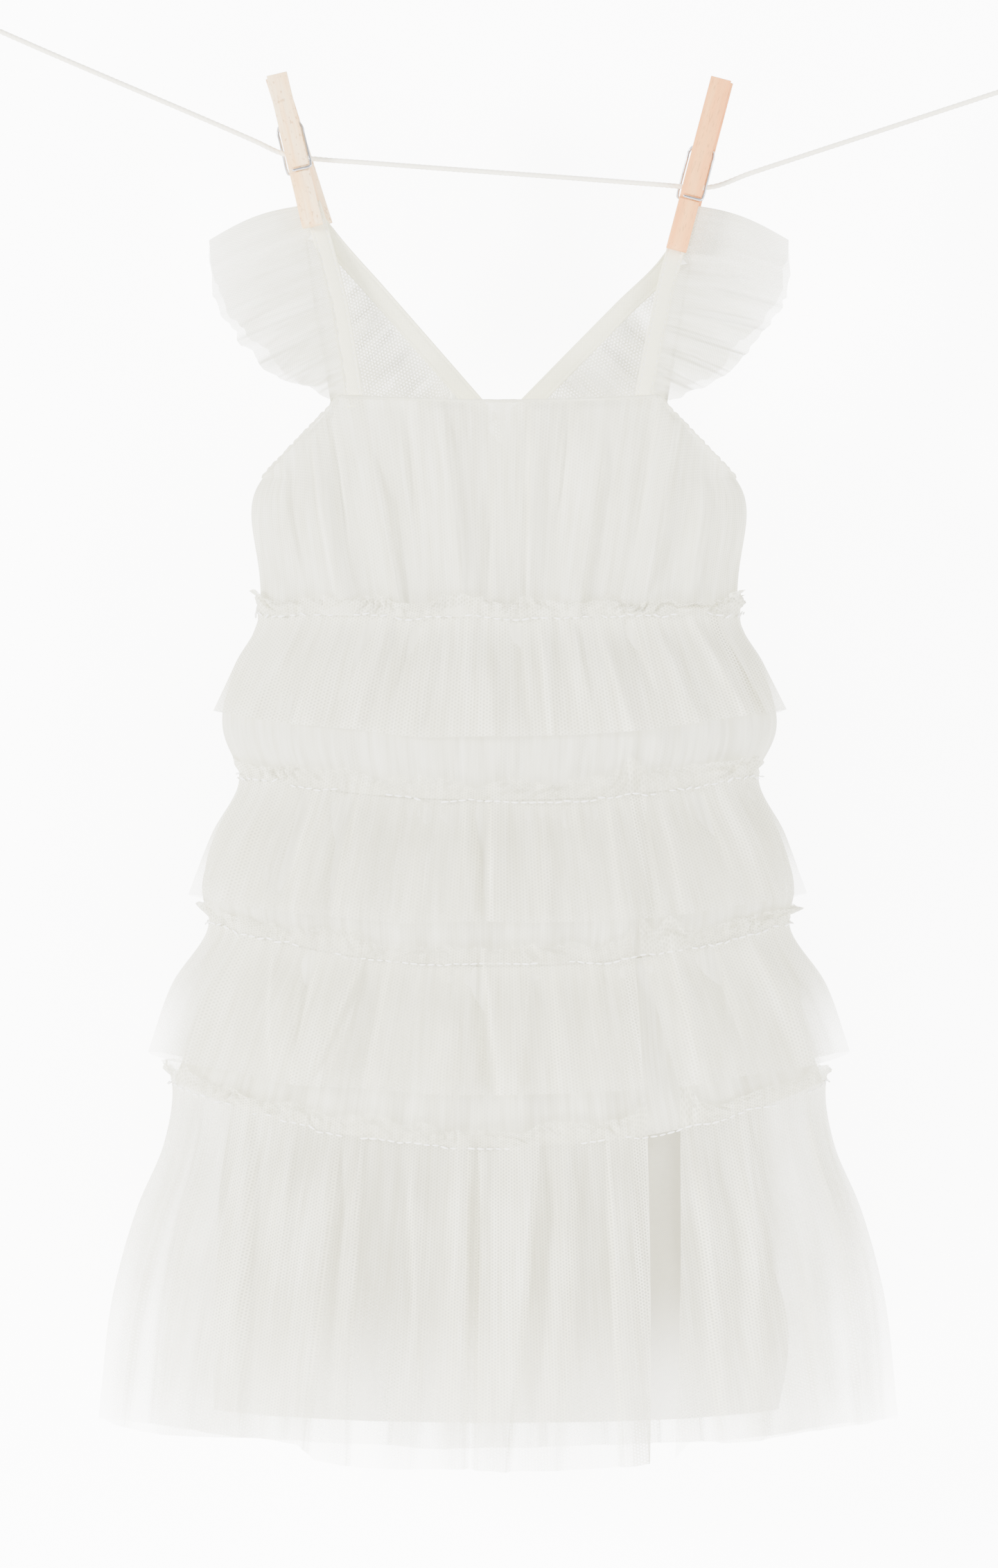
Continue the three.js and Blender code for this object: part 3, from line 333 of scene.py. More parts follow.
# Soft lamps: name, place, size and watts.
LAMPS = (("key", (-2.4, -1.3, 0.25), 0.6, 258.0), ("fill", (2.2, -1.6, 0.2), 1.4, 172.0),
         ("low", (0.0, -0.5, -0.9), 0.5, 14.0))
AIR_LIGHT, AIR_SHOWN = 1.05, 9.6                 # strength of the air as a light and as seen
PAPER_GLOW = 7.3                                 # how strongly the paper behind shows as lit
PAPER_HALF_WIDE, PAPER_TOP = 1.5, 1.6
BACKDROP_GAP, FLOOR_DROP = 0.022, 0.30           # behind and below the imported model

# ---------------------------------------------------------------- random numbers
NOISE_COLUMNS, NOISE_ROWS = 1024, 64
GATHER_CREST, GATHER_TROUGH = 1.6, 0.5           # a gather is their difference high at most
STEEP_SIDE = 0.42                                # width of a fold's steep flank beside its other


# ---------------------------------------------------------------- numbers
def linear(hex_colour):
    """An sRGB hex colour as linear red, green and blue."""
    parts = [int(hex_colour[k:k + 2], 16) / 255 for k in (1, 3, 5)]
    return tuple(v / 12.92 if v <= 0.04045 else ((v + 0.055) / 1.055) ** 2.4 for v in parts)


def smoothstep(low, high, value):
    share = np.clip((value - low) / (high - low), 0, 1)
    return share * share * (3 - 2 * share)


def mixed(low, high, share):
    return low + (high - low) * share


def bell(value, middle, wide):
    return np.exp(-((value - middle) / wide) ** 2)


def unit(rows):
    return rows / np.linalg.norm(rows, axis=-1, keepdims=True)


def slope_of(heights, across):
    """How steep the cloth stands across its folds, at most STEEPEST."""
    across = np.broadcast_to(across, heights.shape)
    steep = np.gradient(heights, axis=1) / np.gradient(across, axis=1)
    return np.clip(np.abs(steep), 0, STEEPEST)


def curve_through(at, places, values):
    """A smooth curve through the values at rising places, read at an array of places."""
    places, values = np.asarray(places, float), np.asarray(values, float)
    slopes = np.gradient(values, places)
    k = np.clip(np.searchsorted(places, at) - 1, 0, len(places) - 2)
    gap = places[k + 1] - places[k]
    t = np.clip((at - places[k]) / gap, 0, 1)
    return ((2 * t**3 - 3 * t**2 + 1) * values[k] + (t**3 - 2 * t**2 + t) * gap * slopes[k]
            + (3 * t**2 - 2 * t**3) * values[k + 1] + (t**3 - t**2) * gap * slopes[k + 1])


def soft_noise(across, down, seed, wrap=NOISE_COLUMNS):
    """Smooth random heights from -1 to 1, one lattice cell to a unit. across repeats after wrap."""
    table = np.random.default_rng(seed).uniform(-1, 1, (NOISE_COLUMNS, NOISE_ROWS))
    across, down = np.broadcast_arrays(across, down)
    column, row = np.floor(across).astype(int), np.floor(down).astype(int)
    sideways, along = (smoothstep(0, 1, across - column), smoothstep(0, 1, down - row))
    low, high = column % wrap, (column + 1) % wrap
    upper = mixed(table[low, row % NOISE_ROWS], table[high, row % NOISE_ROWS], sideways)
    lower = mixed(table[low, (row + 1) % NOISE_ROWS], table[high, (row + 1) % NOISE_ROWS], sideways)
    return mixed(upper, lower, along)


def swells(wave, across, down, seed):
    """Smooth random waves with crests and troughs alike."""
    return wave.high * soft_noise(across / wave.spacing, down / wave.reach, seed)


def gathers(wave, across, down, seed):
    """Gathers with round crests and narrow troughs that run down the cloth, wander, merge and
    die out. The height is about -0.5 to 1 of the wave's."""
    drift = 0.5 * wave.spacing * soft_noise(
        across / (5 * wave.spacing), down / (1.5 * wave.reach), seed + 1)
    height = soft_noise((across + drift) / wave.spacing, down / wave.reach, seed)
    return wave.high * (GATHER_CREST * np.abs(height) - GATHER_TROUGH)


def ragged(rows, across, seed):
    """An uneven edge: rows of height and spacing, each with a seed of its own."""
    return sum(high * soft_noise(across / spacing, 0, seed + k)
               for k, (high, spacing) in enumerate(rows))


def fold_heights(folds, at, share):
    """The summed heights of long folds, each with one steep flank, that fade in and out."""
    total = np.zeros(np.broadcast(at, share).shape)
    for fold in folds:
        across = at - mixed(fold.top, fold.hem, share)
        steep_side = np.sign(across) == np.sign(fold.steep)
        wide = np.where(steep_side, STEEP_SIDE ** abs(fold.steep), 1.0) * fold.wide
        along = (smoothstep(fold.start - 0.12, fold.start + 0.22, share)
                 * (1 - smoothstep(fold.end - 0.25, fold.end + 0.08, share)))
        total += fold.high * along * bell(across, 0, wide)
    return total


def folds_all_round(folds, at, share, front, behind=1.0):
    """The folds on the front, and like ones on the hidden side, behind times as high."""
    hidden = [f._replace(top=-f.top + 0.05, hem=-f.hem + 0.03, high=behind * f.high) for f in folds]
    return np.where(front, fold_heights(folds, at, share), fold_heights(hidden, at, share))


def lengths_along(points):
    """Distance along a polyline to each of its points."""
    steps = np.linalg.norm(np.diff(points, axis=0), axis=-1)
    return np.concatenate([[0], np.cumsum(steps)])


def resampled(points, step):
    """The same polyline, smoothed at its points and cut to even steps."""
    points = np.asarray(points, float)
    places = lengths_along(points)
    even = np.linspace(0, places[-1], max(2, int(round(places[-1] / step)) + 1))
    return np.stack([curve_through(even, places, points[:, k]) for k in range(points.shape[1])], -1)


# ---------------------------------------------------------------- meshes
def new_piece(name, mesh, material, slot, *nodes):
    """A finished mesh as a piece on the body, which may stand for CAD nodes."""
    mesh.materials.clear()
    mesh.materials.append(material)
    mesh.polygons.foreach_set("use_smooth", np.ones(len(mesh.polygons), bool))
    mesh.update()
    piece = bpy.data.objects.new(name, mesh)
    bpy.context.scene.collection.objects.link(piece)
    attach(piece, BODY)
    if nodes:
        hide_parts(*nodes)
    return piece


def keep_facts(mesh, shape, **facts):
    """Values for the material at each point, as attributes of the mesh."""
    for fact, values in facts.items():
        kept = mesh.attributes.new(fact, "FLOAT", "POINT")
        kept.data.foreach_set("value", np.broadcast_to(values, shape).astype(np.float32).ravel())


def cloth_grid(name, points, cloth_u, cloth_v, closed=False, flip=False, **facts):
    """A single sheet through rows and columns of points. The columns run so that down x across
    faces out. cloth_u and cloth_v are each point's place on the flat cloth, in metres, and facts
    are values kept at each point. A closed sheet has one more column of cloth_u than of points."""
    rows, columns = points.shape[:2]
    row = np.arange(rows - 1)[:, None]
    column = np.arange(columns if closed else columns - 1)[None, :]
    beside = (column + 1) % columns
    corners = [row * columns + column, (row + 1) * columns + column,
               (row + 1) * columns + beside, row * columns + beside]
    places = [(row, column), (row + 1, column), (row + 1, column + 1), (row, column + 1)]
    if flip:
        corners, places = corners[::-1], places[::-1]
    faces = np.stack(np.broadcast_arrays(*corners), -1).reshape(-1, 4)
    mesh = bpy.data.meshes.new(name)
    mesh.from_pydata(points.reshape(-1, 3).tolist(), [], faces.tolist())
    layer = mesh.uv_layers.new(name="cloth")
    flat = [np.stack([np.broadcast_to(cloth[r, c], corners[0].shape) for r, c in places], -1)
            for cloth in (cloth_u, cloth_v)]
    layer.data.foreach_set("uv", np.stack(flat, -1).astype(np.float32).ravel())
    keep_facts(mesh, (rows, columns), **facts)
    return mesh


def swept_mesh(name, sections, lengths):
    """A closed solid through rings of points, one ring to a row, with flat ends."""
    rows, around = sections.shape[:2]
    row = np.arange(rows - 1)[:, None]
    turn = np.arange(around)[None, :]
    beside = (turn + 1) % around
    corners = [row * around + turn, row * around + beside,
               (row + 1) * around + beside, (row + 1) * around + turn]
    faces = np.stack(np.broadcast_arrays(*corners), -1).reshape(-1, 4).tolist()
    faces.append(list(range(around))[::-1])
    faces.append([(rows - 1) * around + k for k in range(around)])
    mesh = bpy.data.meshes.new(name)
    mesh.from_pydata(sections.reshape(-1, 3).tolist(), [], faces)
    layer = mesh.uv_layers.new(name="cloth")
    indices = np.zeros(len(mesh.loops), int)
    mesh.loops.foreach_get("vertex_index", indices)
    step = np.linalg.norm(sections[0] - np.roll(sections[0], 1, 0), axis=1).cumsum()
    places = np.stack([step[indices % around], np.asarray(lengths)[indices // around]], -1)
    layer.data.foreach_set("uv", places.astype(np.float32).ravel())
    shape = bmesh.new()
    shape.from_mesh(mesh)
    bmesh.ops.recalc_face_normals(shape, faces=shape.faces)
    shape.to_mesh(mesh)
    shape.free()
    return mesh


def rod(name, line, side, other, size, count):
    """A rod of count sides swept along a line. side and other are square to the line, and size is
    the radius at each point and turn."""
    turn = np.linspace(0, 2 * math.pi, count, endpoint=False)
    size = np.broadcast_to(size, (len(line), count))
    sections = (line[:, None] + (size * np.cos(turn))[..., None] * side[:, None]
                + (size * np.sin(turn))[..., None] * other[:, None])
    return swept_mesh(name, sections, lengths_along(line))


# ---------------------------------------------------------------- the flattened rings
def rings_lengths(rings):
    """Distance down the cloth from its first ring to each, near the middle of its front."""
    return lengths_along(np.array([[ring.z - 0.6 * ring.sag, ring.deep] for ring in rings]))


def ring_values(rings, places, down):
    return [curve_through(down, places, [getattr(ring, key) for ring in rings])
            for key in Ring._fields]


def at_of(angle):
    """Fraction of the half width: -1 at the left side, angle 0, then along the front."""
    turned = np.cos(angle)
    return -np.sign(turned) * np.abs(turned) ** (2 / SECTION_POWER)


def drop_of(sag, at):
    """How far a seam hangs below its ends."""
    return sag * (1 - np.abs(at) ** SAG_POWER)


def ring_points(values, angle, out, straight=None):
    """Points out from a ring. straight is the half width that folds inside the outline fan by."""
    z, sag, wide, deep = values
    at, body = at_of(angle), np.sin(angle)
    fan = wide if straight is None else mixed(straight, wide, at**4)
    normal_x = SECTION_POWER * np.sign(at) * np.abs(at) ** (SECTION_POWER - 1) / wide
    normal_y = -2 * body / deep
    size = np.hypot(normal_x, normal_y)
    return np.stack(np.broadcast_arrays(
        fan * at + out * normal_x / size, -deep * body + out * normal_y / size,
        z - drop_of(sag, at)), -1)


class RingLengths:
    """Turns a length round a ring into the angle there, for two turns from the left side."""

    def __init__(self, ring):
        self.angle = np.linspace(0, 4 * math.pi, 6001)
        line = ring_points((0, 0, ring.wide, ring.deep), self.angle, 0)
        self.length = lengths_along(line)
        self.round = self.length[-1] / 2

    def angle_at(self, length):
        return np.interp(length, self.length, self.angle)

    def length_at_front(self, at):
        """Length from the left side to this fraction of the front's half width."""
        turned = np.arccos(-np.sign(at) * np.abs(at) ** (SECTION_POWER / 2))
        return np.interp(turned, self.angle, self.length)


# ---------------------------------------------------------------- nodes
def add_node(tree, kind, inputs=None, **settings):
    """Adds a node with its settings. inputs gives each input a value, a socket, or a node whose
    first output in use is linked to it."""
    made = tree.nodes.new(kind)
    for key, value in settings.items():
        setattr(made, key, value)
    for key, value in (inputs or {}).items():
        if isinstance(value, bpy.types.Node):
            value = next(socket for socket in value.outputs if socket.enabled)
        if isinstance(value, bpy.types.NodeSocket):
            tree.links.new(value, made.inputs[key])
        else:
            made.inputs[key].default_value = value
    return made


def new_material(name):
    """A new material's tree, emptied."""
    material = bpy.data.materials.new(name)
    material.use_nodes = True
    material.node_tree.nodes.clear()
    return material, material.node_tree


def finished(material, surface):
    """The material with its surface linked to an output."""
    add_node(material.node_tree, "ShaderNodeOutputMaterial", {"Surface": surface})
    return material


def net_holes(tree, places, cell):
    """1 in the middle of each round hole of a hexagonal net and 0 on its threads."""
    total = 0.0
    size = 2 * math.pi / (cell * math.cos(math.radians(30)))
    for turn in (0, 60, 120):
        along = (size * math.cos(math.radians(turn)), size * math.sin(math.radians(turn)), 0)
        run = add_node(tree, "ShaderNodeVectorMath", {0: places, 1: along}, operation="DOT_PRODUCT")
        wave = add_node(tree, "ShaderNodeMath", {0: run}, operation="COSINE")
        total = add_node(tree, "ShaderNodeMath", {0: wave, 1: total}, operation="ADD")
    return add_node(tree, "ShaderNodeMapRange", {"Value": total, "From Min": -0.6, "From Max": 1.6})


def stretched_noise(tree, places, across, along, above=1.0, **settings):
    """Noise whose spots are about across wide and along long, in metres."""
    stretch = (1 / across, 1 / along, 1 / above)
    scaled = add_node(tree, "ShaderNodeMapping", {"Vector": places, "Scale": stretch})
    settings = {key.capitalize(): value for key, value in settings.items()}
    return add_node(tree, "ShaderNodeTexNoise", {"Vector": scaled, "Scale": 1.0, **settings})


# ---------------------------------------------------------------- materials
def tulle(name):
    """Nylon bobbinet: soft matt thread in hexagons, sheer where it lies single, milky where it
    is gathered. Gather lines run down the cloth. Its holes and thinner gather lines are painted
    darker as shade."""
    look = bpy.context.scene.tulle_dress
    material, tree = new_material(name)
    places = add_node(tree, "ShaderNodeUVMap", uv_map="cloth")
    # Gather lines 3 mm apart and 40 mm long, and denser wisps 22 mm wide and 60 mm long.
    streaks = stretched_noise(tree, places, 0.0032, 0.040, detail=2.0, roughness=0.55)
    wisps = stretched_noise(tree, places, 0.022, 0.060, detail=2.0, roughness=0.55)
    kept = {fact: add_node(tree, "ShaderNodeAttribute", attribute_name=fact,
                           attribute_type="GEOMETRY").outputs["Fac"]
            for fact in ("cover", "openness")}
    opened = add_node(tree, "ShaderNodeMath", {
        0: net_holes(tree, places, look.net_cell), 1: kept["openness"]}, operation="MULTIPLY")
    # Painted shade: the thread is darker along the thinner gather lines, standing for the shaded
    # layers that show through them.
    lines = add_node(tree, "ShaderNodeMapRange", {
        "Value": streaks, "From Min": 0.3, "From Max": 0.7})
    colour = add_node(tree, "ShaderNodeMix", {
        "Factor": lines, "A": (*linear("#E0DECA"), 1), "B": (*look.tulle_colour, 1)},
        data_type="RGBA")
    # Painted shade: each hole is darkened towards grey-beige, standing for the layers under it that
    # lie in the shade of its threads.
    painted_hole_shade = add_node(tree, "ShaderNodeMath", {0: opened, 1: 0.62}, operation="MULTIPLY")
    colour = add_node(tree, "ShaderNodeMix", {
        "Factor": painted_hole_shade, "A": colour, "B": (*linear("#A9A491"), 1)}, data_type="RGBA")
    normal = add_node(tree, "ShaderNodeBump", {
        "Height": streaks, "Distance": 0.0005, "Strength": 0.15})
    thread = add_node(tree, "ShaderNodeBsdfPrincipled", {
        "Base Color": colour, "Roughness": 0.75, "Sheen Weight": 0.12, "Normal": normal})
    glow = add_node(tree, "ShaderNodeBsdfTranslucent", {"Color": colour, "Normal": normal})
    lit = add_node(tree, "ShaderNodeMixShader", {0: 0.28, 1: thread, 2: glow})
    # Denser and thinner runs of thread, then most of each hole taken out.
    uneven = add_node(tree, "ShaderNodeMapRange", {
        "Value": streaks, "From Min": 0.3, "From Max": 0.7, "To Min": 0.94, "To Max": 1.06})
    cloudy = add_node(tree, "ShaderNodeMapRange", {
        "Value": wisps, "From Min": 0.3, "From Max": 0.7, "To Min": 0.82, "To Max": 1.14})
    dense = add_node(tree, "ShaderNodeMath", {0: uneven, 1: cloudy}, operation="MULTIPLY")
    cover = add_node(tree, "ShaderNodeMath", {0: kept["cover"], 1: dense}, operation="MULTIPLY")
    left = add_node(tree, "ShaderNodeMapRange", {"Value": opened, "To Min": 1.0, "To Max": 0.4})
    solid = add_node(tree, "ShaderNodeMath", {0: cover, 1: left}, operation="MULTIPLY",
                     use_clamp=True)
    # Threads pass most light on forwards, so a net shades what is behind it less than it hides it.
    shadow = add_node(tree, "ShaderNodeLightPath").outputs["Is Shadow Ray"]
    shade = add_node(tree, "ShaderNodeMapRange", {"Value": shadow, "To Min": 1.0, "To Max": 0.65})
    share = add_node(tree, "ShaderNodeMath", {0: solid, 1: shade}, operation="MULTIPLY")
    clear = add_node(tree, "ShaderNodeBsdfTransparent")
    return finished(material, add_node(tree, "ShaderNodeMixShader", {0: share, 1: clear, 2: lit}))


def woven(name, colour, thread, shade):
    """Plain-woven cotton: matt, with warp and weft as two crossed waves and a slub here and there.
    The weave's hollows are painted darker as shade, and the cloth is painted paler as light where its
    painted light attribute says so."""
    material, tree = new_material(name)
    places = add_node(tree, "ShaderNodeUVMap", uv_map="cloth")
    # Slubs 6 mm across the warp and 1.2 mm along it.
    slubs = stretched_noise(tree, places, 0.006, 0.0012, detail=2.0, roughness=0.55)
    size = 2 * math.pi / thread
    weave = 1.0
    for along in ((size, 0, 0), (0, size, 0)):
        run = add_node(tree, "ShaderNodeVectorMath", {0: places, 1: along}, operation="DOT_PRODUCT")
        rib = add_node(tree, "ShaderNodeMath", {0: run}, operation="SINE")
        weave = add_node(tree, "ShaderNodeMath", {0: rib, 1: weave}, operation="MULTIPLY")
    height = add_node(tree, "ShaderNodeMath", {0: weave, 1: slubs}, operation="ADD")
    raised = add_node(tree, "ShaderNodeMapRange", {
        "Value": height, "From Min": -0.4, "From Max": 1.4})
    # Painted shade: the low parts of the weave are darker, for the shade between its threads.
    tint = add_node(tree, "ShaderNodeMix", {
        "Factor": raised, "A": (*linear(shade), 1), "B": (*colour, 1)}, data_type="RGBA")
    # Painted light: towards the lining's hem the colour is washed towards near-white, for the light
    # that reaches the hem.
    paler = add_node(tree, "ShaderNodeAttribute", attribute_name="paler",
                     attribute_type="GEOMETRY").outputs["Fac"]
    painted_lit_colour = add_node(tree, "ShaderNodeMix", {
        "Factor": paler, "A": tint, "B": (*linear("#F6F4EC"), 1)}, data_type="RGBA")
    normal = add_node(tree, "ShaderNodeBump", {
        "Height": height, "Distance": 0.0002, "Strength": 0.4})
    return finished(material, add_node(tree, "ShaderNodeBsdfPrincipled", {
        "Base Color": painted_lit_colour, "Roughness": 0.8, "Sheen Weight": 0.1, "Normal": normal}))


def peg_wood(name, colour, grain, lean, flecks):
    """Sawn, unfinished wood: matt, with fine grain lines along the leg and short darker flecks."""
    material, tree = new_material(name)
    places = add_node(tree, "ShaderNodeTexCoord").outputs["Object"]
    upright = add_node(tree, "ShaderNodeMapping", {
        "Vector": places, "Rotation": (0, math.radians(-lean), 0)})
    # Grain lines 1.1 mm apart and 36 mm long, in bands 4.5 mm wide.
    streaks = stretched_noise(tree, upright, 1 / 900, 1 / 900, 1 / 28,
                              detail=4.0, roughness=0.6, distortion=0.3)
    bands = stretched_noise(tree, upright, 1 / 220, 1 / 220, 1 / 18, detail=2.0)
    marks = stretched_noise(tree, upright, *flecks, detail=1.0)
    surface = (*colour, 1)
    for height, low, high, most, tint in (
            (bands, 0.35, 0.65, 1.0, grain), (streaks, 0.45, 0.75, 0.45, "#D79A62"),
            (marks, 0.60, 0.72, 0.65, "#B98050")):
        factor = add_node(tree, "ShaderNodeMapRange", {
            "Value": height, "From Min": low, "From Max": high, "To Max": most})
        surface = add_node(tree, "ShaderNodeMix", {
            "Factor": factor, "A": surface, "B": (*linear(tint), 1)}, data_type="RGBA")
    normal = add_node(tree, "ShaderNodeBump", {
        "Height": streaks, "Distance": 0.0003, "Strength": 0.35})
    return finished(material, add_node(tree, "ShaderNodeBsdfPrincipled", {
        "Base Color": surface, "Roughness": 0.62, "Normal": normal}))


def zinc_wire(name):
    """Zinc-plated spring steel, drawn and bent: bright with soft drawing marks."""
    material, tree = new_material(name)
    places = add_node(tree, "ShaderNodeTexCoord").outputs["Object"]
    marks = add_node(tree, "ShaderNodeTexNoise", {"Vector": places, "Scale": 900.0, "Detail": 3.0})
    rough = add_node(tree, "ShaderNodeMapRange", {
        "Value": marks, "From Min": 0.3, "From Max": 0.7, "To Min": 0.24, "To Max": 0.42})
    return finished(material, add_node(tree, "ShaderNodeBsdfPrincipled", {
        "Base Color": (*linear("#B9BBC0"), 1), "Metallic": 1.0, "Roughness": rough}))


def cotton_line(name):
    """Three-ply cotton line: matt fibre, with the grooves between plies in the mesh."""
    material, tree = new_material(name)
    places = add_node(tree, "ShaderNodeTexCoord").outputs["Object"]
    fibre = add_node(tree, "ShaderNodeTexNoise", {"Vector": places, "Scale": 2600.0, "Detail": 3.0})
    colour = add_node(tree, "ShaderNodeMix", {
        "Factor": fibre, "A": (*linear("#FFF7DF"), 1),
        "B": (*bpy.context.scene.tulle_dress.line_colour, 1)}, data_type="RGBA")
    normal = add_node(tree, "ShaderNodeBump", {
        "Height": fibre, "Distance": 0.0002, "Strength": 0.5})
    return finished(material, add_node(tree, "ShaderNodeBsdfPrincipled", {
        "Base Color": colour, "Roughness": 0.9, "Sheen Weight": 0.8, "Normal": normal}))


def sewing_thread(name):
    """Spun polyester thread: whiter than the net, slightly glossy."""
    material, tree = new_material(name)
    places = add_node(tree, "ShaderNodeTexCoord").outputs["Object"]
    twist = add_node(tree, "ShaderNodeTexNoise", {"Vector": places, "Scale": 3000.0})
    colour = add_node(tree, "ShaderNodeMix", {
        "Factor": twist, "A": (*linear("#EDECE6"), 1), "B": (*linear("#FBFAF6"), 1)},
        data_type="RGBA")
    return finished(material, add_node(tree, "ShaderNodeBsdfPrincipled", {
        "Base Color": colour, "Roughness": 0.55}))


def backlit_paper(name):
    """Matt paper lit from within for the camera, so that it is paler than the cloth and still
    takes soft shadows. It is clear from behind, so that the back can be looked at."""
    material, tree = new_material(name)
    paper = add_node(tree, "ShaderNodeBsdfPrincipled", {
        "Base Color": (*linear("#F7F7F7"), 1), "Roughness": 0.9})
    seen = add_node(tree, "ShaderNodeLightPath").outputs["Is Camera Ray"]
    strength = add_node(tree, "ShaderNodeMath", {0: seen, 1: PAPER_GLOW}, operation="MULTIPLY")
    glow = add_node(tree, "ShaderNodeEmission", {
        "Color": (*linear("#FDFDFD"), 1), "Strength": strength})
    lit = add_node(tree, "ShaderNodeAddShader", {0: paper, 1: glow})
    behind = add_node(tree, "ShaderNodeNewGeometry").outputs["Backfacing"]
    clear = add_node(tree, "ShaderNodeBsdfTransparent")
    return finished(material, add_node(tree, "ShaderNodeMixShader", {0: behind, 1: lit, 2: clear}))


def material_named(name, maker, *details):
    return bpy.data.materials.get(name) or maker(name, *details)


def tulle_cloth():
    return material_named("nylon_bobbinet_net", tulle)


def tape_cloth():
    # Threads are 0.25 mm apart in the tape, and drawn at 0.8 mm so that they show.
    return material_named("folded_cotton_tape", woven, bpy.context.scene.tulle_dress.tape_colour,
                          0.0008, "#EBE8CA")


# ---------------------------------------------------------------- skirt
def skirt_flounce(number, tier):
    """One gathered tier as a strip of net: its raw heading, its seam and its free hem."""
    look = bpy.context.scene.tulle_dress
    places = rings_lengths(tier.rings)
    places = places - places[1]
    top, hem = places[0], places[-1]
    down = np.concatenate([
        np.linspace(top, 0, int(round(-top / HEADING_ROW)), endpoint=False),
        np.linspace(0, hem, int(round(hem / BODY_ROW)))])[:, None]
    share, above = np.clip(down / hem, 0, 1), np.clip(down / top, 0, 1)

    lengths = RingLengths(tier.rings[-2])
    ends = tier.ends
    start = lengths.length_at_front(mixed(ends.start_seam, ends.start_hem, share))
    end = lengths.round + lengths.length_at_front(mixed(ends.end_seam, ends.end_hem, share))
    across = mixed(start, end, np.linspace(0, 1, look.columns)[None, :])
    angle = lengths.angle_at(across)
    at, front = at_of(angle), np.sin(angle) > 0
    seed, last = 10 * number, number == len(TIERS)

    # Folds and gathers, which are closest at the seam, and the crumpled heading.
    large = folds_all_round(tier.folds, at, share, front, behind=0.9)
    loose = smoothstep(0, LOOSE_BELOW, down)
    patchy = 0.55 + swells(FLOUNCE_PATCH, across, down, seed + 13)
    near_seam = np.exp(-np.abs(down) / PLEATED_WITHIN)
    waves = (swells(FLOUNCE_SWELL, across, down, seed) * smoothstep(0.1, 1.0, share)
             + loose * mixed(0.35, 1, near_seam) * patchy
             * gathers(FLOUNCE_GATHER, across, down, seed + 1)
             + mixed(0.12, 1, near_seam) * patchy * gathers(SEAM_PLEAT, across, down, seed + 3))
    crumple = smoothstep(-0.5, 0.6, soft_noise(across / 0.016, 0, seed + 14))
    leaning = across + 1.4 * down * soft_noise(across / 0.020, 0, seed + 15)
    rumple = above**0.7 * (crumple * gathers(HEADING_RUMPLE, leaning, down, seed + 5)
                           + gathers(HEADING_FRILL, leaning, down, seed + 7))
    creased = above**0.5 * np.clip(-rumple / DEEP_CREASE, 0, 1)
    tufts = sum(t.high * bell(at, t.at, t.wide) * front for t in tier.tufts)
    side = 1 - np.abs(at) ** 10
    out = (look.fold_height * (large * side + waves * mixed(0.35, 1, side)) + rumple
           + above**1.5 * 0.25 * tufts + 0.0004)
    straight = mixed(tier.rings[1].wide, tier.rings[-1].wide, down / hem)
    points = ring_points(ring_values(tier.rings, places, down), angle, out, straight)
    rise = np.interp(at, *zip(*HEM_RISE)) * front * share**2 if last else 0
    points[..., 2] += (above * (tufts + ragged(HEADING_EDGE, across, seed + 9))
                       + share**3 * ragged(HEM_EDGE, across, seed + 11) + rise)

    # Net lies denser where it is gathered, on crests and on the steep flanks of its folds.
    slope = slope_of(large + 0.5 * waves, across)
    thin = smoothstep(0.0, 1.0, share)
    cover = (mixed(*tier.cover, thin) + FLANK_COVER * slope + HEADING_COVER * above
             + np.clip(HEIGHT_COVER * large, TROUGH_COVER, CREST_COVER)
             + CUT_EDGE_COVER * above**4 + CREASE_COVER * creased)
    if number > 1:
        cover = cover + THIN_SPOT_COVER * bell(at, THIN_SPOT, THIN_SPOT_WIDE) * front
    # Towards the sides it is denser, and sheer again at the very edge of the outline.
    edge = np.abs(at)
    if last:
        cover = (cover + HEM_COVER * smoothstep(0.82, 1.0, share) + 0.26 * bell(edge, 0.74, 0.09)
                 - 0.16 * smoothstep(0.80, 1.0, edge) * smoothstep(0.2, 0.8, share))
    else:
        tip = smoothstep(0.84, 0.99, edge) * smoothstep(0.25, 0.95, share)
        cover = cover + 0.28 * smoothstep(0.74, 0.86, edge) * (1 - tip) - 0.26 * tip
    # The woven edge of the net: open rows, then one dense cord.
    from_end = end - across
    selvedge = (from_end < SELVEDGE) * smoothstep(-0.002, 0.004, down)
    cords = selvedge * bell(from_end, 0, SELVEDGE_CORD)
    # The net's openness also sets how much painted hole shade it gets, so the selvedge's open rows,
    # the heading's creases and the steep flanks are painted darker.
    openness = np.clip(0.40 + 0.15 * thin + 0.20 * above + 0.45 * creased + 0.12 * slope
                       + 0.50 * selvedge - 0.9 * cords, 0, 1)
    name = f"flounce_{number}"
    cover = np.clip(cover + 0.25 * selvedge + 0.5 * cords, 0, 1.1)
    mesh = cloth_grid(name, points, across, -down + 0 * across, cover=cover, openness=openness)
    return new_piece(name, mesh, tulle_cloth(), "tulle", f"{name}_front", f"{name}_back")


def closed_noise(wave, across, down, whole, seed):
    """Random heights that meet again after the whole length round."""
    wrap = int(round(whole / wave.spacing))
    return soft_noise(across * wrap / whole, down / wave.reach, seed, wrap)


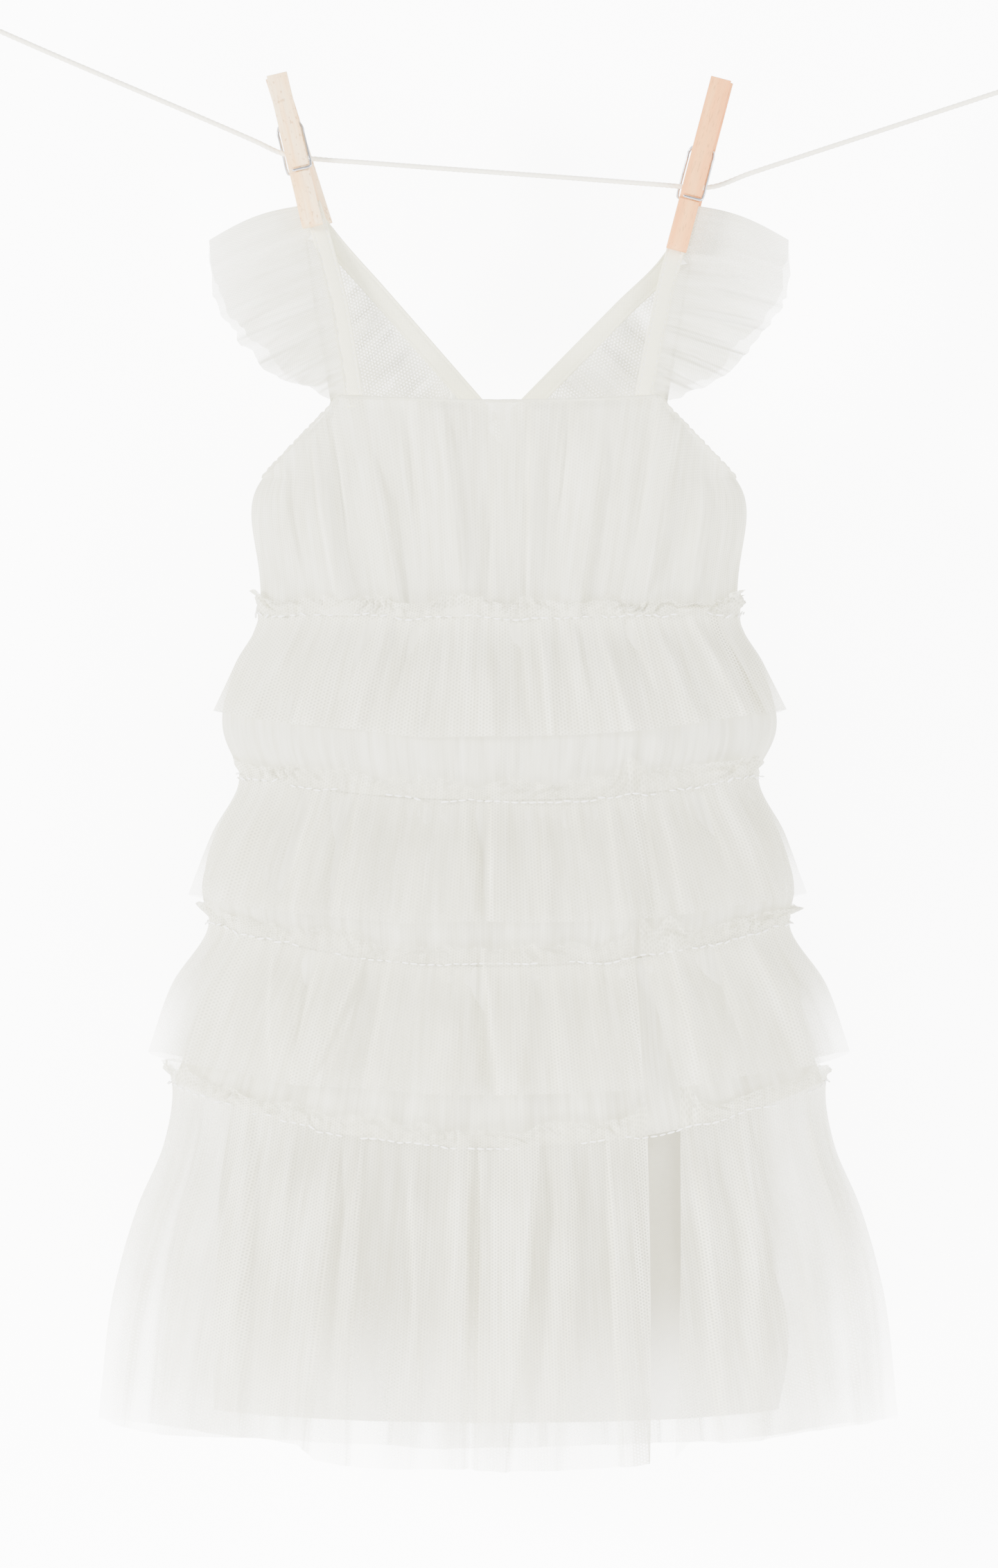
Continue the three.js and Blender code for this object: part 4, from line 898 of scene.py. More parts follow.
def tube_of_cloth(name, rings, cover, openness, wave, seed, folds=(), inset=0.0, fine=None,
                  coarser=1.6, sway=0.0, painted_hem_light=0.0):
    """The mesh of a plain tube of cloth between rings. wave is its unevenness and fine that of its
    small gathers. inset draws its middle in, and sway lets its sides stray. coarser is the spacing
    of its columns beside a flounce's."""
    places = rings_lengths(rings)
    down = np.linspace(0, places[-1], int(round(places[-1] / TUBE_ROW)) + 1)[:, None]
    share = down / places[-1]
    lengths = RingLengths(rings[len(rings) // 2])
    columns = int(bpy.context.scene.tulle_dress.columns / coarser)
    across = np.linspace(0, lengths.round, columns, endpoint=False)[None, :]
    angle = lengths.angle_at(across)
    at, front = at_of(angle), np.sin(angle) > 0
    swell = np.sin(np.pi * share) if inset else smoothstep(0, 0.5, share)
    out = wave.high * swell * np.abs(closed_noise(wave, across, down, lengths.round, seed))
    if fine:
        small = closed_noise(fine, across, down, lengths.round, seed + 1)
        out = out + fine.high * (GATHER_CREST * np.abs(small) - GATHER_TROUGH)
    out = out + folds_all_round(folds, at, share, front) - inset
    z, sag, wide, deep = ring_values(rings, places, down)
    wide = wide + sway * share * soft_noise(down / 0.055 + 9 * (at > 0), 0, seed + 3)
    flat_u = np.linspace(0, lengths.round * 1.2, columns + 1)[None, :] + 0 * down
    # Painted light: the colour is painted paler towards the hem, for the light that reaches it.
    paler = painted_hem_light * smoothstep(0.82, 1.0, share) + 0 * angle
    points = ring_points((z, sag, wide, deep), angle, out)
    return cloth_grid(name, points, flat_u, -down + 0 * flat_u, closed=True, cover=cover,
                      openness=openness, paler=paler)


# ---------------------------------------------------------------- bodice
def waist_share(z):
    """How far up from the waist (0) to the underarm (1)."""
    return np.clip((z - WAIST.z) / (UNDERARM[1] - WAIST.z), 0, 1)


def body_side(z):
    """Half width of the bodice at a height."""
    up = waist_share(z)
    return mixed(WAIST.wide - WAIST_INSET, UNDERARM[0], up) + SIDE_BULGE * up**3 * (1 - up)


def body_depth(x, z, table):
    """Half depth of the bodice, from a table of heights and half depths at the middle."""
    wide = np.where(z > UNDERARM[1], UNDERARM[0] + 0.3 * (z - UNDERARM[1]), body_side(z))
    share = np.minimum(1, np.abs(x) / wide)
    rising = np.array(table[::-1])
    middle = curve_through(z, rising[:, 0], rising[:, 1])
    return SEAM / 2 + middle * np.sqrt(1 - share**SECTION_POWER)


def on_front(x, z, out=0.0):
    return np.stack(np.broadcast_arrays(x, -body_depth(x, z, FRONT_DEPTH) - out, z), -1)


def under_front_edge(x, z, out=0.0):
    """On the front, and sunk behind the panel where that begins."""
    return on_front(x, z, out - 0.0016 * smoothstep(-0.1020, -0.1045, z))


def on_back(x, z, out=0.0):
    return np.stack(np.broadcast_arrays(x, body_depth(x, z, BACK_DEPTH) + out, z), -1)


def yoke_cloth(x, z, yoke):
    """Places on the back's flat cloth: its thread turns square to the neck tapes up in the yoke."""
    way = np.sign(x)
    turn = math.radians(49) * yoke * smoothstep(0, 0.03, np.abs(x))
    beside, above = x - way * 0.062, z + 0.115
    return (way * 0.062 + beside * np.cos(turn) + above * way * np.sin(turn),
            beside * way * np.sin(turn) - above * np.cos(turn))


def bodice_panel(name, edge, facing):
    """A gathered panel ruled from the waist to its top edge: rows of foot, x and z. facing is -1
    for the front and 1 for the back."""
    edge = np.array(edge, float)
    places = lengths_along(edge[:, 1:])
    even = np.linspace(0, places[-1], int(round(places[-1] / 0.0007)))
    foot, top_x, top_z = (np.interp(even, places, edge[:, k])[None, :] for k in range(3))
    up = np.linspace(0, 1, 72)[:, None]
    z = mixed(WAIST.z + SEAM - drop_of(WAIST.sag, foot), top_z, up)
    waist = WAIST.wide - WAIST_INSET
    beyond = body_side(z) - mixed(waist, UNDERARM[0], waist_share(z))
    x = mixed(waist * foot, top_x, up) + np.sign(foot) * beyond * np.abs(foot) ** 5
    across, run = foot * WAIST.wide, up * 0.10
    seed = 70 if facing < 0 else 90
    held = smoothstep(1.0, 0.955, up) * (1 - np.abs(foot) ** 12)
    patchy = 0.5 + swells(BODICE_PATCH, across, run, seed + 8)
    near_end = np.exp(-up / 0.10) + 0.7 * np.exp(-(1 - up) / 0.08)
    # The panel's own share runs from its top edge, where the folds' first place is.
    folds = fold_heights(BODICE_FOLDS, -foot * facing, 1 - up)
    out = (mixed(0.1, 1, near_end) * patchy * gathers(SEAM_PLEAT, across, run, seed)
           + patchy * gathers(BODICE_GATHER, across, run, seed + 2)
           + swells(BODICE_SWELL, across, run, seed + 10) + 2.0 * folds)
    cloth_u, cloth_v = across * 1.3 + 0 * up, run + 0 * foot
    if facing > 0:
        yoke = smoothstep(-0.150, -0.108, z)
        cloth_u, cloth_v = yoke_cloth(x, z, yoke)
        out = mixed(out, gathers(YOKE_GATHER, cloth_u, cloth_v, seed + 4)
                    + gathers(YOKE_PLEAT, cloth_u, cloth_v, seed + 6), yoke)
    out = out * held
    points = (on_front if facing < 0 else on_back)(x, z, out)
    # Two layers lie together in front, so hardly anything shows through. Behind, the yoke is sheer.
    cover, openness = 1.05 + 0 * z, 0.28 + 0 * z
    if facing > 0:
        sheer = smoothstep(-0.112, -0.100, z)
        cover = mixed(1.3, np.clip(1.0 + 0.2 * slope_of(out, x), 0, 1.1), sheer)
        openness = mixed(0.1, 0.50, sheer)
    cover = cover + (1 - openness) * 60 * np.broadcast_to(folds, out.shape) * held
    return cloth_grid(name, points[::-1], cloth_u[::-1], cloth_v[::-1], flip=facing > 0,
                      cover=cover[::-1], openness=openness[::-1])


def front_edge():
    """The front's top edge, left to right: flat with a slight dip, then down both armholes."""
    rows = []
    corner, corner_foot = 10 / 14, 0.50
    for even in np.linspace(-1, 1, 281):
        foot = np.interp(abs(even), [0, corner, 1], [0, corner_foot, 1]) * np.sign(even)
        if abs(even) <= corner:
            x = FRONT_CORNER[0] * even / corner
            rows.append((foot, x, FRONT_CORNER[1] - FRONT_DIP * (1 - (x / FRONT_CORNER[0]) ** 2)))
        else:
            share = (abs(even) - corner) / (1 - corner)
            scallop = SCALLOP_DEPTH * abs(math.sin(SCALLOPS * math.pi * share))
            x, z = (mixed(FRONT_CORNER[k], UNDERARM[k], share) + scallop for k in (0, 1))
            rows.append((foot, math.copysign(x, even), z))
    return rows


def neck_edge(side, share):
    """A point of the back's edge along the lower side of a neck tape, from the mitre up."""
    half = TAPE_WIDTH / 2 - 0.0012
    start, end = np.array(NECK_TAPES[side][2]), np.array(NECK_TAPES[side][-1])
    run = unit(end - start)
    beside = WAY[side] * half * np.array([-run[1], run[0]])
    low = end + beside
    bottom = np.array([NECK_MITRE_X, low[1] + (NECK_MITRE_X - low[0]) / run[0] * run[1]])
    return mixed(bottom, start + beside, share)


def back_edge():
    """The back's top edge, left to right: armhole, shoulder, V, shoulder, armhole."""
    rows = [(0, *neck_edge("left", 0))]
    for side, way in WAY.items():
        half = [(way * NECK_FOOT * share, *neck_edge(side, share))
                for share in np.linspace(0.05, 1, 20)]
        half += [(way * foot, way * x, z) for x, z, foot in [SHOULDERS[side], *ARMHOLE]]
        rows = half[::-1] + rows if side == "left" else rows + half
    return rows


def edge_roll(name, line, facing, radius, ripple, seed):
    """A narrow rolled edge swept along a line that lies on the cloth, with small puckers."""
    line = resampled(line, 0.0008)
    outward = np.tile((0.0, facing, 0.0), (len(line), 1))
    across = unit(np.cross(unit(np.gradient(line, axis=0)), outward))
    pucker = radius * (1 + ripple * soft_noise(lengths_along(line) / 0.0022, 0, seed))
    mesh = rod(name, line, across, 0.55 * outward, pucker[:, None], 10)
    keep_facts(mesh, len(mesh.vertices), cover=0.96, openness=0.1)
    return new_piece(name, mesh, tulle_cloth(), "tulle")


# ---------------------------------------------------------------- tapes
def tape_sections(path, place, mitre=None):
    """Rings of points round a folded tape: rounded edges and a shallow stitched groove inside
    each of them. place puts x, z and a distance out on the front or the back."""
    line = resampled(path, 0.0012)
    run = unit(np.gradient(line, axis=0))
    if mitre is not None:
        line = np.vstack([line, *(line[-1] + run[-1] * step for step in (0.002, 0.004))])
        run = np.vstack([run, run[-1:], run[-1:]])
    turned = np.stack([-run[:, 1], run[:, 0]], -1)
    ring = TAPE_FACE + [(across, -high) for across, high in TAPE_FACE[-2:0:-1]]
    rings = []
    for across, high in ring:
        flat = line + turned * (across * TAPE_WIDTH / 2)
        if mitre is not None:
            over = np.sign(run[-1, 0]) * (flat[:, 0] - mitre)
            flat = flat + run * np.where(over > 0, (mitre - flat[:, 0]) / run[:, 0], 0)[:, None]
        rings.append(place(flat[:, 0], flat[:, 1], high * TAPE_THICK))
    return np.stack(rings, 1), line, turned


def tape_piece(name, path, place, node, mitre=None):
    """A tape, and the two lines that its edge stitches follow."""
    sections, line, turned = tape_sections(path, place, mitre)
    mesh = swept_mesh(name, sections, lengths_along(line))
    piece = new_piece(name, mesh, tape_cloth(), "strap_tape", node)
    kept = slice(1, -3) if mitre is not None else slice(1, -1)
    flats = [(line + turned * (way * TAPE_GROOVE * TAPE_WIDTH / 2))[kept] for way in (-1, 1)]
    return piece, [place(flat[:, 0], flat[:, 1], 0.38 * TAPE_THICK) for flat in flats]


# ---------------------------------------------------------------- sleeves
def sleeve_inner(side, along, facing):
    """The inner edge: down between the peg's legs, then along the strap or the armhole."""
    ridge, corner = np.array(SLEEVE_RIDGE[side]), np.array(PEG_CORNER[side])
    near = np.clip(along / PEG_SHARE, 0, 1)
    share = np.clip((along - PEG_SHARE) / (1 - PEG_SHARE), 0, 1)
    if facing < 0:
        z = mixed(corner[1] - 0.0025, -0.102, share)
        strap = np.array(STRAPS[side])[::-1]
        x = WAY[side] * (np.abs(np.interp(z, strap[:, 1], strap[:, 0])) + TAPE_WIDTH / 2 - 0.0006)
    else:
        z = mixed(corner[1] - 0.0035, -0.095, share)
        rows = np.array([SHOULDERS[side], *ARMHOLE])[::-1]
        x = WAY[side] * np.interp(z, rows[:, 1], rows[:, 0])
    beside_peg = along < PEG_SHARE
    return (np.where(beside_peg, mixed(ridge[0], corner[0], near), x),
            np.where(beside_peg, mixed(ridge[1], corner[1], near), z))


def sleeve_piece(side):
    """One gathered strip folded over the shoulder: place runs from its lower end behind (-1) over
    the ridge to its lower end in front (1), and t from its inner edge to its free one."""
    way = WAY[side]
    place = np.linspace(-1, 1, 521)[:, None]
    in_front = place > 0
    facing = np.where(in_front, -1.0, 1.0)
    along = np.abs(place) ** 1.15
    t = np.linspace(0, 1, 46)[None, :]
    inner_x, inner_z = (np.where(in_front, front, back) for front, back in zip(
        sleeve_inner(side, along, -1), sleeve_inner(side, along, 1)))
    free = {face: np.array(rows) for face, rows in SLEEVE_EDGE.items()}
    outer_x, outer_z = (
        np.where(in_front, *(curve_through(along, rows[:, 0], rows[:, k])
                             for rows in free.values()))
        for k in (1, 2))
    lift = np.where(in_front, body_depth(inner_x, inner_z, FRONT_DEPTH) + 0.0004,
                    body_depth(inner_x, inner_z, BACK_DEPTH) + 0.0012)
    seed = 130 if side == "left" else 150
    shift = 0.03 if side == "left" else -0.02
    run, down = place * 0.12, t * 0.05
    spread = smoothstep(0, 0.25, along)
    dense = smoothstep(0.10, 0.50, along) * (1 - t) ** 2
    fold = spread * (dense * gathers(SLEEVE_GATHER, run, down, seed)
                     + mixed(0.3, 1, t) * fold_heights(SLEEVE_FOLDS, along + shift * facing, t)
                     + t**1.5 * swells(SLEEVE_SWELL, run, down, seed + 4))
    flare = 0.002 + 0.007 * t * np.sin(np.pi * np.minimum(1, along * 0.8 + 0.15))
    opened = np.minimum(1, along / 0.12)
    out_of_peg = smoothstep(0.14, 0.26, along)
    held = np.maximum(lift * out_of_peg, 0.0001)
    deep = facing * (held * (1 - t) + flare * opened * (0.3 * out_of_peg + 0.7 * t) + fold)
    edge_wave = t**3 * spread * ragged(SLEEVE_EDGE_WAVES, run, seed + 6)
    x = mixed(inner_x, WAY[side] * outer_x, t) + way * edge_wave
    z = (mixed(inner_z, outer_z, t) + 0.0030 * np.sin(np.pi * t) * (1 - along) ** 3 - edge_wave
         + t * (1 - t) * gathers(SLEEVE_RIPPLE, run, down, seed + 8))
    slope = np.abs(np.gradient(np.broadcast_to(fold, deep.shape), axis=0)) / 0.0005
    cover = np.clip(mixed(0.90, 0.60, t) + 0.25 * np.clip(slope, 0, 1) + 50 * fold, 0.4, 0.98)
    name = f"sleeve_flounce_{side}"
    mesh = cloth_grid(name, np.stack(np.broadcast_arrays(x, deep, z), -1), place * 0.2 + 0 * t,
                      -down + 0 * place, flip=side == "left", cover=cover,
                      openness=mixed(0.40, 0.52, t) + 0 * along)
    return new_piece(name, mesh, tulle_cloth(), "tulle", f"sleeve_{side}")


# ---------------------------------------------------------------- stitches
def stitch_tree():
    """Stitches along every edge line of a mesh: small rounded bars, evenly spaced, each turned
    and sized a little at random."""
    tree = bpy.data.node_groups.new("stitches_along_lines", "GeometryNodeTree")
    for name, kind, value in (
            ("Lines", "Geometry", None), ("Stitch Length", "Float", 0.0022),
            ("Stitch Gap", "Float", 0.0008), ("Thread Radius", "Float", 0.0003),
            ("Seed", "Int", 3), ("Thread", "Material", None)):
        made = tree.interface.new_socket(name, in_out="INPUT", socket_type=f"NodeSocket{kind}")
        if value is not None:
            made.default_value = value
    tree.interface.new_socket("Stitches", in_out="OUTPUT", socket_type="NodeSocketGeometry")
    given = tree.nodes.new("NodeGroupInput").outputs
    length, radius = given["Stitch Length"], given["Thread Radius"]
    curve = add_node(tree, "GeometryNodeMeshToCurve", {"Mesh": given["Lines"]})
    pitch = add_node(tree, "ShaderNodeMath", {0: length, 1: given["Stitch Gap"]}, operation="ADD")
    points = add_node(tree, "GeometryNodeCurveToPoints", {"Curve": curve, "Length": pitch},
                      mode="LENGTH")
    bar = add_node(tree, "GeometryNodeMeshUVSphere", {"Segments": 6, "Rings": 4, "Radius": 1.0})
    half = add_node(tree, "ShaderNodeMath", {0: length, 1: 0.5}, operation="MULTIPLY")
    size = add_node(tree, "ShaderNodeCombineXYZ", {"X": radius, "Y": radius, "Z": half})
    uneven = add_node(tree, "FunctionNodeRandomValue", {
        2: 0.85, 3: 1.1, "Seed": given["Seed"]}, data_type="FLOAT")
    scaled = add_node(tree, "ShaderNodeVectorMath", {0: size, "Scale": uneven}, operation="SCALE")
    tilt = add_node(tree, "FunctionNodeRandomValue", {
        0: (-0.12, -0.12, -0.12), 1: (0.12, 0.12, 0.12), "Seed": given["Seed"]},
        data_type="FLOAT_VECTOR")
    turned = add_node(tree, "FunctionNodeRotateRotation", {
        "Rotation": points.outputs["Rotation"], "Rotate By": tilt.outputs[0]},
        rotation_space="LOCAL")
    placed = add_node(tree, "GeometryNodeInstanceOnPoints", {
        "Points": points, "Instance": bar, "Rotation": turned, "Scale": scaled})
    real = add_node(tree, "GeometryNodeRealizeInstances", {"Geometry": placed})
    threaded = add_node(tree, "GeometryNodeSetMaterial", {
        "Geometry": real, "Material": given["Thread"]})
    add_node(tree, "NodeGroupOutput", {0: threaded})
    return tree


def grown(name, source, tree, values):
    """What a geometry tree makes of a source mesh, as a plain mesh."""
    carrier = bpy.data.objects.new(name + "_lines", source)
    bpy.context.scene.collection.objects.link(carrier)
    modifier = carrier.modifiers.new("grow", "NODES")
    modifier.node_group = tree
    identifiers = {item.name: item.identifier for item in tree.interface.items_tree
                   if item.item_type == "SOCKET" and item.in_out == "INPUT"}
    for key, value in values.items():
        modifier[identifiers[key]] = value
    graph = bpy.context.evaluated_depsgraph_get()
    mesh = bpy.data.meshes.new_from_object(carrier.evaluated_get(graph))
    carrier.modifiers.clear()
    bpy.data.objects.remove(carrier)
    mesh.name = name
    return mesh


def stitched(name, lines, length, gap, radius, seed):
    """Stitches along several polylines, joined in one piece."""
    points, edges = [], []
    for line in lines:
        edges += [(len(points) + k, len(points) + k + 1) for k in range(len(line) - 1)]
        points += [tuple(p) for p in line]
    source = bpy.data.meshes.new(name + "_lines")
    source.from_pydata(points, edges, [])
    thread = material_named("spun_polyester_thread", sewing_thread)
    tree = bpy.data.node_groups.get("stitches_along_lines") or stitch_tree()
    mesh = grown(name, source, tree, {
        "Stitch Length": length, "Stitch Gap": gap, "Thread Radius": radius, "Seed": seed,
        "Thread": thread})
    return new_piece(name, mesh, thread, "strap_tape")


def seam_lines(ring, out, seed):
    """Runs of gathering thread round a seam, which wander and dive under the net."""
    angle = np.linspace(0, 2 * math.pi, 900)
    line = ring_points(tuple(ring), angle, out + 0.0005 * soft_noise(angle * 20, 0, seed))
    line[:, 2] += ragged(((0.0011, 1 / 8), (0.0006, 1 / 30)), angle, seed + 1)
    hidden = soft_noise(angle * 11, 0, seed + 3) < -0.30
    breaks = np.flatnonzero(np.diff(hidden.astype(int))) + 1
    return [run for run, under in zip(np.split(line, breaks), np.split(hidden, breaks))
            if not under[0] and len(run) > 3]


# ---------------------------------------------------------------- pegs
def peg_leg(name, wood):
    """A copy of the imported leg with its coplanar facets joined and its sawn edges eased."""
    shape = bmesh.new()
    shape.from_mesh(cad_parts[name].data)
    bmesh.ops.remove_doubles(shape, verts=shape.verts, dist=1e-6)
    bmesh.ops.dissolve_limit(shape, angle_limit=math.radians(2), verts=shape.verts,
                             edges=shape.edges)
    sharp = [edge for edge in shape.edges
             if len(edge.link_faces) == 2 and edge.calc_face_angle() > math.radians(20)]
    bmesh.ops.bevel(shape, geom=sharp, offset=PEG_EASING, segments=3, profile=0.6, affect="EDGES",
                    clamp_overlap=True)
    mesh = bpy.data.meshes.new(name + "_eased")
    shape.to_mesh(mesh)
    shape.free()
    piece = new_piece(name + "_eased", mesh, wood, wood.name.split("_")[0], name)
    mesh.set_sharp_from_angle(angle=math.radians(35))
    return piece


def spring_line(peg):
    """Centreline of the spring in the peg's own frame: cross wire, arm, coil, arm, cross wire."""
    beside = PEG_WIDTH / 2 + SEAM + WIRE_RADIUS
    lean = math.tan(math.radians(peg.open))
    seat = PEG_THICK - PEG_GROOVE + lean * (PEG_FULCRUM - peg.wire) + 2 * SEAM + WIRE_RADIUS
    height = peg.wire + lean * (PEG_THICK - PEG_GROOVE)
    half = [
        (-0.0033, -seat, height), (-0.001, -seat, height), (0.0015, -seat, height),
        (beside - 0.0019, -seat, height), (beside - 0.0004, -seat + 0.0003, height + 0.0003),
        (beside, -seat + 0.001, height + 0.002), (beside, -seat + 0.0024, height + 0.007),
        (beside, -COIL_RADIUS - 0.0013, PEG_COIL - 0.007),
        (beside, -COIL_RADIUS - 0.0003, PEG_COIL - 0.003),
    ]
    steps = int(COIL_STEPS * COIL_TURNS)
    coil = []
    for k in range(steps + 1):
        turn = k / COIL_STEPS * 2 * math.pi
        coil.append((beside - 2 * beside * k / steps, -COIL_RADIUS * math.cos(turn),
                     PEG_COIL + COIL_RADIUS * math.sin(turn)))
    return half + coil + [(-x, -y, z) for x, y, z in half[::-1]]


def peg_spring(side, peg, wire):
    """A round wire along the spring's line, with domed ends."""
    turned = Matrix.Rotation(math.radians(peg.lean), 3, "Y")
    place = Vector((peg.x, 0, peg.z))
    line = np.array([turned @ Vector(p) + place for p in resampled(spring_line(peg), 0.0003)])
    along = unit(np.gradient(line, axis=0))
    sides = [np.cross(along[0], (0.31, 0.2, 0.93))]
    for way in along:
        sides.append(unit(sides[-1] - way * np.dot(sides[-1], way)))
    sides = np.array(sides[1:])
    places = lengths_along(line)
    from_end = np.minimum(places, places[-1] - places)
    dome = np.sqrt(np.maximum(0.02, 1 - np.maximum(0.0, 1 - from_end / WIRE_RADIUS) ** 2))
    name = f"peg_{side}_spring_wire"
    mesh = rod(name, line, sides, np.cross(along, sides), WIRE_RADIUS * dome[:, None], WIRE_SIDES)
    return new_piece(name, mesh, wire, "spring_wire", f"peg_{side}_spring")


# ---------------------------------------------------------------- clothes line
def laid_line(name, line, diameter, lay):
    """A twisted line: a three-lobed section that turns once in each lay."""
    line = np.asarray(line, float)
    along = unit(np.gradient(line, axis=0))
    side = unit(np.cross(along, (0, 1, 0)))
    twist = 2 * math.pi * (lengths_along(line) / lay)[:, None]
    turn = np.linspace(0, 2 * math.pi, LINE_SIDES, endpoint=False)[None, :]
    bulge = np.abs(np.cos(LINE_PLIES * (turn - twist) / 2)) ** 0.8
    size = diameter / 2 * (0.76 + 0.26 * bulge)
    return rod(name, line, side, np.cross(along, side), size, LINE_SIDES)


# ---------------------------------------------------------------- settings
def colour_setting(name, default, description):
    return FloatVectorProperty(name=name, subtype="COLOR", size=3, min=0, max=1,
                               default=linear(default), description=description)


class TulleDressSettings(bpy.types.PropertyGroup):
    net_cell: FloatProperty(
        name="Net cell", default=0.0016, min=0.0005, max=0.01, unit="LENGTH", precision=4,
        description="Distance between two holes; the real 1 mm is drawn coarser so that it shows")
    fold_height: FloatProperty(
        name="Fold height", default=1.0, min=0.0, max=2.0,
        description="Height of the skirt's folds beside their own sizes")
    columns: IntProperty(
        name="Columns", default=900, min=200, max=1600,
        description="Columns of points round each tier of the skirt")
    tulle_colour: colour_setting("Tulle", "#F4F3E4", "Colour of the net's thread")
    # The lining is painted darker than its cotton's own colour, as painted shade inside the skirt.
    shaded_lining_colour: colour_setting("Lining", "#BFBCAA", "Colour of the skirt's lining")
    tape_colour: colour_setting("Tape", "#FAF7DA", "Colour of the straps and neck tapes")
    birch_colour: colour_setting("Left peg", "#FFCD8B", "Colour of the left peg's wood")
    beech_colour: colour_setting("Right peg", "#EE9A50", "Colour of the right peg's wood")
    line_colour: colour_setting("Line", "#FFFBEA", "Colour of the clothes line")


# ---------------------------------------------------------------- operators
class DRESS_OT_clothes_line(bpy.types.Operator):
    """Add the taut clothes line with its knots and end loops"""
    bl_idname = "dress.clothes_line"
    bl_label = "Clothes line"

    def execute(self, context):
        line = resampled([(x, 0, z) for x, z in LINE_ROUTE], 0.0006)
        cotton = material_named("twisted_cotton_line", cotton_line)
        mesh = laid_line("cotton_line", line, LINE_DIAMETER, LINE_LAY)
        piece = new_piece("cotton_line", mesh, cotton, "cotton_line", "line")
        made = []
        for side, end, before in (("left", line[0], line[6]), ("right", line[-1], line[-7])):
            made += self.add_end(side, end, unit(end - before), cotton)
        return {"FINISHED"}

    def add_end(self, side, end, run, cotton):
        """An overhand knot as three wound turns, and the small loop beyond it."""
        over = np.array((0.0, 1.0, 0.0))
        up = np.cross(run, over)
        turns = np.linspace(0, KNOT_TURNS * 2 * math.pi, 120)
        wound = (end[None] + run * (KNOT_START + KNOT_LENGTH * turns / turns[-1])[:, None]
                 + KNOT_RADIUS * (np.cos(turns)[:, None] * up + np.sin(turns)[:, None] * over))
        knot = laid_line(f"knot_{side}_wound", wound, KNOT_CORD, KNOT_LAY)
        centre = end + run * LOOP_CENTRE
        angle = np.linspace(math.radians(-LOOP_OPEN), math.radians(LOOP_OPEN), 90)
        loop = centre + LOOP_RADIUS * (np.cos(angle)[:, None] * run + np.sin(angle)[:, None] * over)
        ring = laid_line(f"loop_{side}_tied", loop, LINE_DIAMETER, LINE_LAY)
        return [new_piece(f"knot_{side}_wound", knot, cotton, "cotton_line", f"knot_{side}"),
                new_piece(f"loop_{side}_tied", ring, cotton, "cotton_line", f"loop_{side}")]


class DRESS_OT_skirt_lining(bpy.types.Operator):
    """Add the skirt's lining, whose hem shows through the net"""
    bl_idname = "dress.skirt_lining"
    bl_label = "Skirt lining"

    def execute(self, context):
        # The lining's colour is painted darker than its cotton, as painted shade inside the skirt;
        # its hem is painted paler again as painted light.
        colour = context.scene.tulle_dress.shaded_lining_colour
        # Threads are 0.2 mm apart in the lining, and drawn at 0.9 mm so that they show.
        cloth = woven("plain_woven_cotton_lining", colour, 0.0009, "#ACA896")
        mesh = tube_of_cloth("skirt_lining", LINING_RINGS, 1.0, 0.0, LINING_WAVE, 40,
                             folds=LINING_FOLDS, coarser=2.4, sway=0.007, painted_hem_light=1.0)
        piece = new_piece("skirt_lining", mesh, cloth, "lining", "lining_front", "lining_back")
        return {"FINISHED"}


class DRESS_OT_skirt_bases(bpy.types.Operator):
    """Add the plain net panels that carry each next seam"""
    bl_idname = "dress.skirt_bases"
    bl_label = "Skirt base panels"

    def execute(self, context):
        for k, (bulge, cover) in enumerate(zip(BASE_BULGES, BASE_COVERS)):
            name = f"base_{k + 1}"
            above, below = SEAM_RINGS[k], SEAM_RINGS[k + 1]
            rings = [above._replace(z=above.z - SEAM), bulge, below._replace(z=below.z + SEAM)]
            mesh = tube_of_cloth(name, rings, cover, 0.15, BASE_WAVE, 50 + 5 * k, inset=0.0010,
                                 fine=BASE_GATHER)
            piece = new_piece(name, mesh, tulle_cloth(), "tulle", f"{name}_front", f"{name}_back")
        return {"FINISHED"}


class DRESS_OT_skirt_flounces(bpy.types.Operator):
    """Add the four gathered flounces with their raw headings"""
    bl_idname = "dress.skirt_flounces"
    bl_label = "Skirt flounces"

    def execute(self, context):
        for k, tier in enumerate(TIERS):
            piece = skirt_flounce(k + 1, tier)
        return {"FINISHED"}


class DRESS_OT_bodice(bpy.types.Operator):
    """Add the gathered front and back of the bodice with their finished edges"""
    bl_idname = "dress.bodice"
    bl_label = "Bodice"

    def execute(self, context):
        front = bodice_panel("bodice_front_panel", front_edge(), -1)
        front = new_piece("bodice_front_panel", front, tulle_cloth(), "tulle", "bodice_front")
        back = bodice_panel("bodice_back_panel", back_edge(), 1)
        back = new_piece("bodice_back_panel", back, tulle_cloth(), "tulle", "bodice_back")
        top = np.array(front_edge())
        inner = np.abs(top[:, 1]) <= FRONT_CORNER[0] + 1e-6
        neck = edge_roll("front_neck_edge", on_front(top[inner, 1], top[inner, 2], 0.0002), -1,
                         radius=0.0007, ripple=0.12, seed=201)
        for side, way in WAY.items():
            rows = top[way * top[:, 1] >= FRONT_CORNER[0] - 1e-6]
            edge_roll(f"front_armhole_edge_{side}",
                                  on_front(rows[:, 1], rows[:, 2], 0.0001), -1,
                                  radius=0.0006, ripple=0.35, seed=205 + way)
        for side, way in WAY.items():
            rows = np.array([SHOULDERS[side], *ARMHOLE])
            edge_roll(f"back_armhole_edge_{side}",
                                        on_back(way * rows[:, 0], rows[:, 1], 0.0001), 1,
                                        radius=0.0004, ripple=0.35, seed=215 + way)
        return {"FINISHED"}


